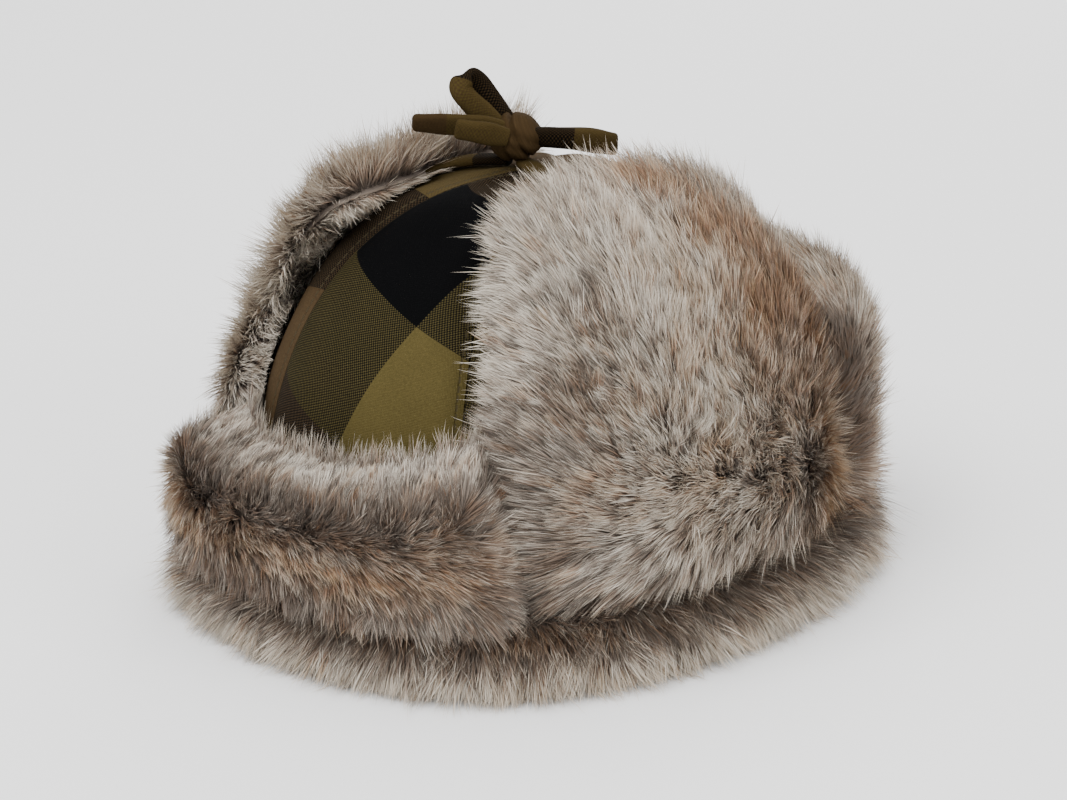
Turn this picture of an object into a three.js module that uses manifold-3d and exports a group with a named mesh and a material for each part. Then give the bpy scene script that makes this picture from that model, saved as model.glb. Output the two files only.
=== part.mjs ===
// A trapper hat: a crown of six checked cloth panels, a fur roll sewn round its foot, and four fur
// flaps turned up round it: a visor, two ear flaps and a neck flap. The ear flaps reach over the crown,
// where their cloth ties meet in a bow. Millimetres, +Z up. The hat faces -Y and stands on z = 0.
import * as THREE from "three";
import { mergeVertices } from "three/addons/utils/BufferGeometryUtils.js";
import Module from "manifold-3d";

// Driving dimensions of the crown
const headLength = 202; // inside, front to back
const headWidth = 164; // inside, side to side
const clothWall = 2.4; // checked cloth with its interlining
const crownTop = 148; // top of the crown above the table
const crownFoot = 14; // lower edge of the crown above the table
const crownFullness = 2.45; // exponent of the dome: 2 is an ellipse, more is squarer
const planFullness = 2.4; // exponent of the head oval seen from above
const panelCount = 6;
const panelColumns = 6;
const panelRows = 10;
const seamGap = 0.4; // between neighbouring panels
const seamPinch = 2.0; // how far the cloth is drawn in at a seam
const apexRadius = 2.6; // where the panels end under the bow

// Driving dimensions of the fur
const sewnGap = 0.7; // between pieces that are sewn or lie against each other
const rollHeight = 25; // fur roll outside the crown
const rollDepth = 27; // pile of the roll outside the crown, without its locks
const liningDepth = 8; // pile inside the crown's foot
const liningHeight = 30; // top of that pile above the table
const grooveGap = 1.4; // round the crown's foot, in the groove of the roll
const visorDepth = 29;
const visorHeight = 82; // top of its pile above the table, at its left end
const visorHalfAngle = 47; // degrees from the front to the visor's ends at its foot
const visorTopHalfAngle = 37; // and at the height where its ends stop narrowing
const visorEndHeight = 84;
const neckTop = 101; // top of the neck flap's pile at the back
const neckDepth = 25;
const neckHalfAngle = 64; // degrees from the back to the neck flap's ends
const earDepth = 26;
const lockWidth = 14;
const lockThickness = 7;
const lockLength = 14;
const lockSpread = 0.35; // by how much locks differ in size, as a share of it
const lockSink = 5; // root of a lock below the pile's surface

// Driving dimensions of the ties
const tieWidth = 8.5;
const tieThickness = 3.4;
const knotWidth = 19;
const knotHeight = 17.5;
const knotClearance = 0.3; // between the knot and the straps that come out of it
const knotX = -5; // from the crown's axis
const knotY = -3;
const knotRise = 11.5; // from the crown's top to the knot's centre
const bowReach = 36; // from the knot's centre to the tip of the longer end
const bowTurn = 42; // degrees by which the bow is turned from the hat's front towards its left side

const wasm = await Module();
wasm.setup();

const degrees = Math.PI / 180;
const up = new THREE.Vector3(0, 0, 1);

// Colours of the pieces
const finish = (color, roughness) => new THREE.MeshStandardMaterial({ color, roughness, metalness: 0 });
const checkedCloth = finish(0x4a3f22, 0.9);
const blackCloth = finish(0x14140f, 0.92);
const tieCloth = finish(0x3b2f1a, 0.88);
const paleFur = finish(0xb5aaa0, 0.8);
const duskyFur = finish(0x8d8078, 0.8);

// A number from 0 to 1 that is the same each time for the same seed.
function scatter(seed) {
  const wave = Math.sin(seed * 12.9898 + 4.1414) * 43758.5453;
  return wave - Math.floor(wave);
}

// Solids and geometry

function solidOf(geometry) {
  const bare = geometry.clone();
  bare.deleteAttribute("normal");
  bare.deleteAttribute("uv");
  const merged = mergeVertices(bare, 1e-4);
  return new wasm.Manifold(
    new wasm.Mesh({
      numProp: 3,
      vertProperties: new Float32Array(merged.attributes.position.array),
      triVerts: new Uint32Array(merged.index.array),
    }),
  );
}

function geometryOf(solid) {
  const mesh = solid.getMesh();
  const geometry = new THREE.BufferGeometry();
  geometry.setAttribute("position", new THREE.BufferAttribute(mesh.vertProperties, 3));
  geometry.setIndex(new THREE.BufferAttribute(mesh.triVerts, 1));
  const faceted = geometry.toNonIndexed();
  faceted.computeVertexNormals();
  return faceted;
}

// A closed geometry from points and the quads between them, each split along the same diagonal.
function geometryFrom(points, quads) {
  const geometry = new THREE.BufferGeometry().setFromPoints(points);
  geometry.setIndex(quads.flatMap(([a, b, c, d]) => [a, b, c, a, c, d]));
  return geometry;
}

// A sheet with an inner and an outer face, both functions of two shares from 0 to 1.
function sheetSolid(inner, outer, columns, rows) {
  const points = [];
  const quads = [];
  const at = (side, i, j) => (side * (columns + 1) + i) * (rows + 1) + j;
  for (const face of [inner, outer])
    for (let i = 0; i <= columns; i++)
      for (let j = 0; j <= rows; j++) points.push(face(i / columns, j / rows));
  for (let i = 0; i < columns; i++) {
    for (let j = 0; j < rows; j++) {
      quads.push([at(0, i, j), at(0, i, j + 1), at(0, i + 1, j + 1), at(0, i + 1, j)]);
      quads.push([at(1, i, j), at(1, i + 1, j), at(1, i + 1, j + 1), at(1, i, j + 1)]);
    }
    quads.push([at(0, i, 0), at(0, i + 1, 0), at(1, i + 1, 0), at(1, i, 0)]);
    quads.push([at(0, i, rows), at(1, i, rows), at(1, i + 1, rows), at(0, i + 1, rows)]);
  }
  for (let j = 0; j < rows; j++) {
    quads.push([at(0, 0, j), at(1, 0, j), at(1, 0, j + 1), at(0, 0, j + 1)]);
    quads.push([at(0, columns, j), at(0, columns, j + 1), at(1, columns, j + 1), at(1, columns, j)]);
  }
  return solidOf(geometryFrom(points, quads));
}

// A tube through rings of points. A loop of rings closes on itself, and others get flat ends.
function ringSolid(rings, looped) {
  const count = rings[0].length;
  const points = rings.flat();
  const quads = [];
  const last = looped ? rings.length : rings.length - 1;
  for (let i = 0; i < last; i++) {
    const next = (i + 1) % rings.length;
    for (let j = 0; j < count; j++) {
      const k = (j + 1) % count;
      quads.push([i * count + j, i * count + k, next * count + k, next * count + j]);
    }
  }
  const geometry = geometryFrom(points, quads);
  if (!looped) {
    const index = [...geometry.index.array];
    const foot = (rings.length - 1) * count;
    for (let j = 1; j < count - 1; j++) index.push(0, j + 1, j, foot, foot + j, foot + j + 1);
    geometry.setIndex(index);
  }
  return solidOf(geometry);
}

// The crown

const halfLength = headLength / 2 + clothWall;
const halfWidth = headWidth / 2 + clothWall;
const power = (value, exponent) => Math.sign(value) * Math.abs(value) ** (2 / exponent);

// The head oval seen from above, `spread` outside the crown. Angle 0 is the front, a quarter turn is +X.
function oval(angle, spread, share = 1) {
  return new THREE.Vector3(
    (halfWidth * share + spread) * power(Math.sin(angle), planFullness),
    -(halfLength * share + spread) * power(Math.cos(angle), planFullness),
    0,
  );
}

// A point of the crown, `spread` outside it. Rise goes from 0 at the foot to 1 at the apex.
function crownPoint(angle, rise, spread) {
  const turn = (rise * Math.PI) / 2;
  const share = power(Math.cos(turn), crownFullness);
  const point = oval(angle, 0, share * (1 + spread / ((halfLength + halfWidth) / 2)));
  return point.setZ(crownFoot + (crownTop - crownFoot + spread) * power(Math.sin(turn), crownFullness));
}

const panelAngle = (2 * Math.PI) / panelCount;
const lastRise = (2 / Math.PI) * Math.acos((apexRadius / halfWidth) ** (crownFullness / 2));

function crownPanel(middle) {
  const face = (spread) => (across, along) => {
    const rise = along * lastRise;
    const share = power(Math.cos((rise * Math.PI) / 2), crownFullness);
    const clear = seamGap / 2 / (halfWidth * share) / Math.cos(panelAngle / 4);
    const side = 2 * across - 1;
    const angle = middle + side * (panelAngle / 2 - clear);
    const height = crownPoint(angle, rise, 0).z;
    const aboveLining = THREE.MathUtils.smoothstep(height, liningHeight, 2 * liningHeight);
    const drawnIn = seamPinch * side ** 6 * Math.min(1, share * 2) * aboveLining;
    return crownPoint(angle, rise, spread - drawnIn);
  };
  return sheetSolid(face(-clothWall), face(0), panelColumns, panelRows);
}

// Locks of fur

const lockShape = new THREE.ConeGeometry(0.5, 1, 4, 1).translate(0, 0.5, 0).rotateX(Math.PI / 2);

// A pointed lock whose root is sunk in the pile. It leans from the surface's normal along `comb`.
function lock({ point, normal }, comb, length, size) {
  const direction = comb.clone().normalize();
  const side = new THREE.Vector3().crossVectors(normal, direction).normalize();
  const face = new THREE.Vector3().crossVectors(direction, side);
  const root = point.clone().addScaledVector(normal, -lockSink);
  const place = new THREE.Matrix4().makeBasis(side, face, direction).setPosition(root);
  const scale = new THREE.Matrix4().makeScale(lockWidth * size, lockThickness * size, length + lockSink);
  return solidOf(lockShape.clone().applyMatrix4(place.multiply(scale)));
}

// The point and the frame of a surface given as a function of two shares.
function frameOn(surface, across, along) {
  const step = 0.02;
  const point = surface(across, along);
  const right = surface(Math.min(1, across + step), along).sub(surface(Math.max(0, across - step), along));
  const rising = surface(across, Math.min(1, along + step)).sub(surface(across, Math.max(0, along - step)));
  right.normalize();
  rising.normalize();
  return { point, right, rising, normal: new THREE.Vector3().crossVectors(right, rising).normalize() };
}

// Rows of locks on a surface. Each row says how high it lies as a share of the surface, how many locks
// it has, how strongly they point out, up and along the surface, and how long they are.
function locksOn(surface, rows, seed) {
  const locks = [];
  rows.forEach((row, r) => {
    for (let i = 0; i < row.count; i++) {
      const key = seed + r * 57 + i * 3;
      const stagger = (r % 2) * 0.5;
      const across = (i + 0.25 + stagger) / row.count;
      const along = Math.min(1, Math.max(0, row.along + (scatter(key) - 0.5) * row.loose));
      const place = frameOn(surface, Math.min(1, across), along);
      const fan = row.fan * (2 * across - 1) + (scatter(key + 1) - 0.5) * 0.4;
      const comb = place.normal
        .clone()
        .multiplyScalar(row.out)
        .addScaledVector(place.rising, row.rise)
        .addScaledVector(place.right, fan);
      const size = 1 + lockSpread * (scatter(key + 2) - 0.5);
      locks.push(lock(place, comb, lockLength * row.length * size, size));
    }
  });
  return locks;
}

const fused = (backing, locks) => wasm.Manifold.union([backing, ...locks]);

// A block that keeps only what lies between two walls which stand on the head oval, above a height.
function sector(startAt, endAt, floor, ceiling) {
  const reach = halfLength;
  const levels = [floor, visorEndHeight, ceiling];
  const steps = 8;
  const wall = (angle, height) => [oval(angle, -0.99 * halfWidth), oval(angle, reach)].map((p) => p.setZ(height));
  const face = (side) => (across, along) => {
    const height = levels[Math.round(along * (levels.length - 1))];
    const angle = startAt(height) + (endAt(height) - startAt(height)) * across;
    return wall(angle, height)[side];
  };
  return sheetSolid(face(0), face(1), steps, levels.length - 1);
}

// The fur roll

// The roll's section: outside the crown as shares of the roll's depth and height, and inside it as shares
// of the lining's. The groove between them takes the crown's foot.
const pileOutside = [
  { out: 0.05, up: 1 },
  { out: 0.7, up: 1 },
  { out: 0.89, up: 0.84 },
  { out: 1.05, up: 0.52 },
  { out: 1, up: 0.2 },
  { out: 0.81, up: 0 },
  { out: 0.11, up: 0 },
];
const pileInside = [
  { out: 0.5, up: 0.05 },
  { out: 1, up: 0.23 },
  { out: 1, up: 0.8 },
  { out: 0.62, up: 1 },
  { out: 0.18, up: 0.9 },
];
const rollSection = [
  ...pileOutside.map(({ out, up: rise }) => ({ spread: out * rollDepth, height: rise * rollHeight })),
  ...pileInside.map(({ out, up: rise }) => ({
    spread: -clothWall - out * liningDepth,
    height: rise * liningHeight,
  })),
  { spread: -clothWall - grooveGap, height: crownFoot - sewnGap },
  { spread: grooveGap, height: crownFoot - sewnGap },
];
const rollStations = 36;
const rollLocks = [
  { along: 0.3, loose: 0.1, count: 34, out: 1, rise: -0.45, fan: 0, length: 0.93 },
  { along: 0.7, loose: 0.1, count: 34, out: 0.9, rise: -0.75, fan: 0, length: 0.93 },
];

function furRoll() {
  const rings = Array.from({ length: rollStations }, (_, i) =>
    rollSection.map(({ spread, height }) => oval((2 * Math.PI * i) / rollStations, spread).setZ(height)),
  );
  const outside = (across, along) => oval(2 * Math.PI * across, rollDepth).setZ(rollHeight * (0.16 + 0.72 * along));
  const band = new THREE.BoxGeometry(4 * headLength, 4 * headLength, rollHeight);
  const kept = solidOf(band.translate(0, 0, rollHeight / 2));
  const locks = wasm.Manifold.union(locksOn(outside, rollLocks, 11));
  const body = ringSolid(rings, true);
  return body.add(locks.intersect(kept).subtract(headSpace()));
}

// The space inside the roll's pile, which no lock may enter.
function headSpace() {
  const ring = (height) =>
    Array.from({ length: rollStations }, (_, i) => oval((2 * Math.PI * i) / rollStations, 6).setZ(height));
  return ringSolid([ring(-headLength), ring(headLength)], false);
}

// Flaps that stand on the roll

const flapFoot = rollHeight + sewnGap;
const wallGap = sewnGap / halfWidth; // as an angle
const neckEnd = Math.PI - neckHalfAngle * degrees;

function visorEnd(height) {
  const part = THREE.MathUtils.clamp((height - flapFoot) / (visorEndHeight - flapFoot), 0, 1);
  return degrees * THREE.MathUtils.lerp(visorHalfAngle, visorTopHalfAngle, part);
}

// The value of a table's column at a share, on straight lines between its rows.
function columnAt(table, share, name) {
  const next = table.findIndex((row) => row.at >= share);
  if (next <= 0) return table[next === 0 ? 0 : table.length - 1][name];
  const [low, high] = [table[next - 1], table[next]];
  return THREE.MathUtils.lerp(low[name], high[name], (share - low.at) / (high.at - low.at));
}

// From `least` at an edge to 1 inside, round like a pillow. Distance and width are shares of the sheet.
function pillow(distance, width, least) {
  const share = Math.min(1, distance / width);
  return least + (1 - least) * Math.sqrt(1 - (1 - share) ** 2);
}
const fromSides = (across) => 0.5 - Math.abs(across - 0.5);

// Height of the pile's top edge from one end to the other, as a share of its named height, and the rows of
// locks, whose lengths are shares of lockLength.
const visorTops = [
  { at: 0, height: 0.83 },
  { at: 0.2, height: 0.756 },
  { at: 0.5, height: 0.793 },
  { at: 0.8, height: 0.89 },
  { at: 1, height: 1 },
];
const visorRows = [
  { along: 0.05, loose: 0.04, count: 11, out: 0.5, rise: -1, fan: 0.2, length: 0.93 },
  { along: 0.35, loose: 0.15, count: 9, out: 0.5, rise: -0.8, fan: 0.5, length: 1.0 },
  { along: 0.7, loose: 0.1, count: 9, out: 0.5, rise: 0.8, fan: 0.4, length: 0.93 },
  { along: 0.97, loose: 0.02, count: 12, out: 0.25, rise: 1, fan: 0.1, length: 0.93 },
];
const neckTops = [
  { at: 0, height: 0.97 },
  { at: 0.15, height: 1 },
  { at: 0.85, height: 1 },
  { at: 1, height: 0.97 },
];
const neckRows = [
  { along: 0.04, loose: 0.03, count: 12, out: 0.6, rise: -1, fan: 0.2, length: 0.93 },
  { along: 0.28, loose: 0.1, count: 9, out: 0.6, rise: -0.8, fan: 0.4, length: 1.0 },
  { along: 0.55, loose: 0.1, count: 10, out: 0.6, rise: 0.8, fan: 0.4, length: 1.0 },
  { along: 0.8, loose: 0.1, count: 10, out: 0.6, rise: 0.8, fan: 0.4, length: 1.0 },
  { along: 0.98, loose: 0.02, count: 12, out: 0.3, rise: 1, fan: 0.2, length: 0.93 },
];

// A flap that stands straight up on the oval between two angles.
function standingFlap(startAt, endAt, tops, highest, depth, rows, seed) {
  const face = (spreadAt) => (across, along) => {
    const height = flapFoot + (highest * columnAt(tops, across, "height") - flapFoot) * along;
    const angle = startAt(height) + (endAt(height) - startAt(height)) * across;
    return oval(angle, sewnGap + spreadAt(across, along)).setZ(height);
  };
  const thickness = (across, along) =>
    depth * pillow(1 - along, 0.35, 0.45) * pillow(fromSides(across), 0.1, 0.8) * pillow(along, 0.12, 0.85);
  const outer = face(thickness);
  const backing = sheetSolid(face(() => 0), outer, 14, 6);
  const locks = locksOn(outer, rows, seed);
  return fused(backing, locks).intersect(sector(startAt, endAt, flapFoot, crownTop));
}

const visor = () =>
  standingFlap(
    (height) => -visorEnd(height) + wallGap,
    (height) => visorEnd(height) - wallGap,
    visorTops,
    visorHeight,
    visorDepth,
    visorRows,
    101,
  );

const neckFlap = () =>
  standingFlap(
    () => neckEnd + wallGap,
    () => 2 * Math.PI - neckEnd - wallGap,
    neckTops,
    neckTop,
    neckDepth,
    neckRows,
    301,
  );

// Outlines of the ear flaps from foot to top: distances from the middle to the front and the back edge as
// shares of the crown's half length, depth of the pile as a share of earDepth, and how much of the crown's
// curve from front to back the flap follows.
const leftEarOutline = [
  { at: 0, front: 0.812, back: 0.58, depth: 0.96, curve: 1 },
  { at: 0.3, front: 0.812, back: 0.561, depth: 1.0, curve: 0.85 },
  { at: 0.55, front: 0.745, back: 0.551, depth: 0.85, curve: 0.6 },
  { at: 0.8, front: 0.629, back: 0.532, depth: 0.54, curve: 0.45 },
  { at: 1, front: 0.493, back: 0.464, depth: 0.38, curve: 0.4 },
];
const rightEarOutline = [
  { at: 0, front: 0.793, back: 0.58, depth: 0.92, curve: 1 },
  { at: 0.3, front: 0.716, back: 0.561, depth: 0.73, curve: 0.95 },
  { at: 0.5, front: 0.6, back: 0.551, depth: 0.54, curve: 0.85 },
  { at: 0.75, front: 0.6, back: 0.532, depth: 0.54, curve: 0.5 },
  { at: 1, front: 0.561, back: 0.464, depth: 0.46, curve: 0.2 },
];

const earRows = [
  { along: 0.04, loose: 0.03, count: 10, out: 0.5, rise: -1, fan: 0.3, length: 0.93 },
  { along: 0.2, loose: 0.06, count: 9, out: 0.5, rise: -0.9, fan: 0.5, length: 1.0 },
  { along: 0.4, loose: 0.08, count: 8, out: 0.5, rise: 0.8, fan: 0.6, length: 1.0 },
  { along: 0.6, loose: 0.08, count: 8, out: 0.5, rise: 0.9, fan: 0.6, length: 1.0 },
  { along: 0.8, loose: 0.06, count: 8, out: 0.5, rise: 0.9, fan: 0.5, length: 1.0 },
  { along: 0.98, loose: 0.02, count: 9, out: 0.3, rise: 1, fan: 0.4, length: 0.86 },
];

// How far up the dome the ear flaps reach as a share of its quarter turn, and how much lower the front
// and the back corner of their tops are.
const leftEar = { outline: leftEarOutline, reach: 0.85, frontFall: 0.1, backFall: 0.16, seed: 501 };
const rightEar = { outline: rightEarOutline, reach: 0.78, frontFall: 0.03, backFall: 0.12, seed: 701 };

// The sheet of a left ear flap. It stands on the roll, follows the crown's side and leans over the dome.
function earSheet({ outline, reach, frontFall, backFall }) {
  const footShare = (flapFoot - crownFoot) / (crownTop - crownFoot);
  const footRise = (2 / Math.PI) * Math.asin(footShare ** (crownFullness / 2));
  return (across, along) => {
    const side = 2 * across - 1;
    const fall = side > 0 ? backFall : frontFall;
    const rise = THREE.MathUtils.lerp(footRise, reach * (1 - fall * side ** 2), along);
    const y = side * halfLength * columnAt(outline, along, side > 0 ? "back" : "front");
    const share = Math.abs(y / (halfLength + sewnGap)) ** planFullness;
    const drop = halfWidth * (1 - (1 - share) ** (1 / planFullness)) * columnAt(outline, along, "curve");
    const point = crownPoint(Math.PI / 2, rise, 1.6 * sewnGap);
    return point.set(point.x - drop, y, point.z);
  };
}

function earFlap(kind) {
  const sheet = earSheet(kind);
  const outer = (across, along) => {
    const { point, normal } = frameOn(sheet, across, along);
    const depth = earDepth * columnAt(kind.outline, along, "depth");
    const edge = pillow(fromSides(across), 0.12, 0.5) * pillow(1 - along, 0.15, 0.6) * pillow(along, 0.08, 0.85);
    point.addScaledVector(normal, depth * edge);
    return point.setZ(Math.max(point.z, flapFoot + 0.01 * depth));
  };
  const startAt = (height) => visorEnd(height) + wallGap;
  const endAt = () => neckEnd - wallGap;
  const locks = locksOn(outer, earRows, kind.seed);
  return fused(sheetSolid(sheet, outer, 12, 10), locks).intersect(sector(startAt, endAt, flapFoot, 2 * crownTop));
}

// The bow. Its rows are shares of bowReach from the knot's centre: to the right, to the front and up, as
// seen by someone who stands before the bow.
const bowRight = new THREE.Vector3(1, 0, 0).applyAxisAngle(up, bowTurn * degrees);
const bowFront = new THREE.Vector3(0, -1, 0).applyAxisAngle(up, bowTurn * degrees);
const knotCentre = new THREE.Vector3(knotX, knotY, crownTop + knotRise);

const bowVector = ([right, front, rise]) =>
  new THREE.Vector3().addScaledVector(bowRight, right).addScaledVector(bowFront, front).addScaledVector(up, rise);

const knotBall = (clearance) =>
  solidOf(
    new THREE.SphereGeometry(1, 12, 8)
      .scale(knotWidth / 2 + clearance, knotWidth / 2 + clearance, knotHeight / 2 + clearance)
      .translate(knotCentre.x, knotCentre.y, knotCentre.z),
  );

const strapSection = [
  [0.5, 0.2],
  [0.4, 0.5],
  [-0.4, 0.5],
  [-0.5, 0.2],
  [-0.5, -0.2],
  [-0.4, -0.5],
  [0.4, -0.5],
  [0.5, -0.2],
];

// A flat strap along a curve. Its width points along `across`, which may turn from one end to the other.
function strap(points, acrossStart, acrossEnd, pieces) {
  const curve = new THREE.CatmullRomCurve3(points, false, "centripetal");
  const rings = Array.from({ length: pieces + 1 }, (_, i) => {
    const share = i / pieces;
    const centre = curve.getPoint(share);
    const tangent = curve.getTangent(share);
    const across = acrossStart.clone().lerp(acrossEnd, share);
    across.addScaledVector(tangent, -across.dot(tangent)).normalize();
    const face = new THREE.Vector3().crossVectors(tangent, across);
    return strapSection.map(([wide, thick]) =>
      centre.clone().addScaledVector(across, wide * tieWidth).addScaledVector(face, thick * tieThickness),
    );
  });
  return ringSolid(rings, false).subtract(knotBall(knotClearance));
}

const loopPieces = 16;
const endPieces = 6;
const bowStraps = {
  bow_loop_left: {
    rows: [
      [-0.028, -0.083, 0.056],
      [-0.222, -0.139, 0.306],
      [-0.375, -0.139, 0.5],
      [-0.486, -0.072, 0.572],
      [-0.556, -0.011, 0.486],
      [-0.486, 0, 0.319],
      [-0.111, 0.028, 0.056],
    ],
    acrossStart: [0.8, 0, 0.5],
    acrossEnd: [0.8, 0, 0.5],
    pieces: loopPieces,
  },
  bow_loop_right: {
    rows: [
      [0.083, 0.056, 0.028],
      [0.389, 0.125, 0.028],
      [0.667, 0.125, 0],
      [0.861, 0.069, -0.042],
      [0.944, -0.028, -0.083],
      [0.833, -0.125, -0.083],
      [0.556, -0.125, -0.056],
      [0.167, -0.069, -0.028],
    ],
    acrossStart: [0, 0.3, 1],
    acrossEnd: [0, 0.1, 1],
    pieces: loopPieces,
  },
  bow_end_long: {
    rows: [
      [-0.056, 0.1, 0.083],
      [-0.333, 0.156, 0.153],
      [-0.667, 0.156, 0.167],
      [-1, 0.144, 0.183],
    ],
    acrossStart: [0, 0, 1],
    acrossEnd: [0, 0.6, 0.8],
    pieces: endPieces,
  },
  bow_end_short: {
    rows: [
      [-0.083, 0.222, 0.056],
      [-0.306, 0.3, 0.122],
      [-0.583, 0.3, 0.167],
    ],
    acrossStart: [0, 0, 1],
    acrossEnd: [0, 0.36, 0.93],
    pieces: endPieces,
  },
};

function bowStrap({ rows, acrossStart, acrossEnd, pieces }) {
  const points = rows.map((row) => knotCentre.clone().addScaledVector(bowVector(row), bowReach));
  return strap(points, bowVector(acrossStart), bowVector(acrossEnd), pieces);
}

// Height of the crown's outside above a point of the plan.
function crownHeight(x, y) {
  const plan = Math.abs(x / halfWidth) ** planFullness + Math.abs(y / halfLength) ** planFullness;
  const share = plan ** (1 / planFullness);
  return crownFoot + (crownTop - crownFoot) * (1 - share ** crownFullness) ** (1 / crownFullness);
}

// A tie lies on the crown from under the knot, `aside` of its centre, to a place under its ear flap's edge.
function tie(aside, endX, endY) {
  const lift = tieThickness / 2 + 1.5 * sewnGap;
  const start = new THREE.Vector2(knotX + aside, knotY);
  const end = new THREE.Vector2(endX, endY);
  const points = [0, 0.25, 0.5, 0.75, 1].map((share) => {
    const { x, y } = start.clone().lerp(end, share);
    return new THREE.Vector3(x, y, crownHeight(x, y) + lift);
  });
  const across = new THREE.Vector3(start.y - end.y, end.x - start.x, 0);
  return strap(points, across, across, 2 * endPieces);
}

// What is left of a tie beside the pile of its flap, with a gap between them.
function besideFlap(band, flap) {
  const gap = sewnGap / 2;
  const shifts = [
    [gap, 0, 0],
    [-gap, 0, 0],
    [0, gap, 0],
    [0, -gap, 0],
    [0, 0, gap],
    [0, 0, -gap],
  ];
  return shifts.reduce((rest, shift) => rest.subtract(flap.translate(shift)), band);
}

const hat = new THREE.Group();

function add(name, solid, material) {
  const mesh = new THREE.Mesh(geometryOf(solid), material);
  mesh.name = name;
  hat.add(mesh);
}

const panelNames = ["front", "front_left", "back_left", "back", "back_right", "front_right"];
panelNames.forEach((where, i) => add(`crown_panel_${where}`, crownPanel(i * panelAngle), checkedCloth));
add("fur_roll", furRoll(), duskyFur);
add("visor", visor(), duskyFur);
add("neck_flap", neckFlap(), duskyFur);
const leftFlap = earFlap(leftEar);
const rightFlap = earFlap(rightEar).mirror([1, 0, 0]);
add("ear_flap_left", leftFlap, paleFur);
add("ear_flap_right", rightFlap, paleFur);
const leftTie = tie(0.21 * knotWidth, 0.355 * halfWidth, -0.135 * halfLength);
const rightTie = tie(-0.16 * knotWidth, -0.52 * halfWidth, -0.145 * halfLength);
add("tie_left", besideFlap(leftTie, leftFlap), tieCloth);
add("tie_right", besideFlap(rightTie, rightFlap), tieCloth);
add("bow_knot", knotBall(0), tieCloth);
Object.entries(bowStraps).forEach(([name, shape]) => add(name, bowStrap(shape), tieCloth));

// The origin is the middle of the hat's box, on the table.
const middle = new THREE.Box3().setFromObject(hat).getCenter(new THREE.Vector3());
hat.children.forEach((mesh) => mesh.geometry.translate(-middle.x, -middle.y, 0));

export default hat;
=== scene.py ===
"""A winter hat of checked cloth and long fur, its flaps tied up in a bow, dressed on top of its CAD frame.

Shapes are worked out in millimetres in the hat's own axes: +Z up, the hat faces -Y, and its wearer's left
is +X. They are moved to the frame's axes, in metres, when their mesh is made.
"""

import math

import bpy
import numpy as np
from bpy.props import FloatProperty, FloatVectorProperty, IntProperty, PointerProperty
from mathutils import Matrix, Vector


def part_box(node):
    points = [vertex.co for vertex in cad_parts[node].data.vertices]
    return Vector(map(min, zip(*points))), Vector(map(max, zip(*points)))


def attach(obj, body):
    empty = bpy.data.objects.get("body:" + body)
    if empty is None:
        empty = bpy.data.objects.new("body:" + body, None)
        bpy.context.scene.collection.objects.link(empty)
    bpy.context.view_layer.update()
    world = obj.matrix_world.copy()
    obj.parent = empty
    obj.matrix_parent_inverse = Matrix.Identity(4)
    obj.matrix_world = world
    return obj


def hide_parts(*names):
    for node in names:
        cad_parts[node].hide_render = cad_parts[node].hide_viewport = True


bl_info = {
    "name": "Fur hat",
    "version": (1, 0, 0),
    "blender": (4, 5, 0),
    "location": "View3D > Sidebar > Fur hat",
    "description": "Dresses the hat's frame in checked cloth and long fur",
    "category": "Object",
}

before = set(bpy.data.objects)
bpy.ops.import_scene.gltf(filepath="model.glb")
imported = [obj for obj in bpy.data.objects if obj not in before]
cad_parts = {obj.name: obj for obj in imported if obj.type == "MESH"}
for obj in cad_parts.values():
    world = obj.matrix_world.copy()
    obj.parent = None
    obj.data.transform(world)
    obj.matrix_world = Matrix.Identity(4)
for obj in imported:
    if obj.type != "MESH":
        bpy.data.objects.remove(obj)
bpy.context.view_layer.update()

MM = 0.001
CELL_COUNT = 48
STATIONS = np.array([0.0, 0.55, 1.0])
STRAIGHT = np.array([0.0, 1.0])
FINE_SIZE = 0.75
WARM_STEPS = 6
LIGHT_STEPS = 8

# Sizes of the frame, in millimetres, and its two fullnesses
HALF_LENGTH = 103.4
HALF_WIDTH = 84.4
CLOTH_WALL = 2.4
CROWN_TOP = 148.0
CROWN_FOOT = 14.0
CROWN_FULLNESS = 2.45
PLAN_FULLNESS = 2.4
SEAM_GAP = 0.4
SEAM_PINCH = 2.0
APEX_RADIUS = 2.6
LINING_HEIGHT = 30.0
SEWN_GAP = 0.7
FLAP_FOOT = 25.7
VISOR_HALF_ANGLE = 47.0
VISOR_TOP_HALF_ANGLE = 37.0
VISOR_END_HEIGHT = 84.0
VISOR_HEIGHT = 82.0
VISOR_DEPTH = 29.0
NECK_HALF_ANGLE = 64.0
NECK_TOP = 101.0
NECK_DEPTH = 25.0
EAR_DEPTH = 26.0
KNOT = np.array([-5.0, -3.0, 159.5])
KNOT_WIDTH = 19.0
KNOT_HEIGHT = 17.5
BOW_REACH = 36.0
BOW_TURN = 42.0
PANEL_ANGLE = math.pi / 3

# How far hair is kept out of the crown, as a measure of it, and above the floor, in millimetres
CROWN_CLEARANCE = 1.015
FLOOR_CLEARANCE = 0.3

# How far a hair's ribbon is turned about it at random, and how late it narrows towards its tip
RIBBON_TURN = math.radians(32)
RIBBON_TAPER = 2.2

# Waves that make up one wandering value
WAVE_COUNT = 6


def hat_axis():
    """Middle of the crown's panels in the frame, in metres: where the hat's own axes have their origin."""
    boxes = [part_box(name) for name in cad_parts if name.startswith("crown_panel")]
    low = np.min([box[0] for box in boxes], axis=0)
    high = np.max([box[1] for box in boxes], axis=0)
    return np.array([(low[0] + high[0]) / 2, (low[1] + high[1]) / 2, 0.0])


AXIS = hat_axis()


# Settings


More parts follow.
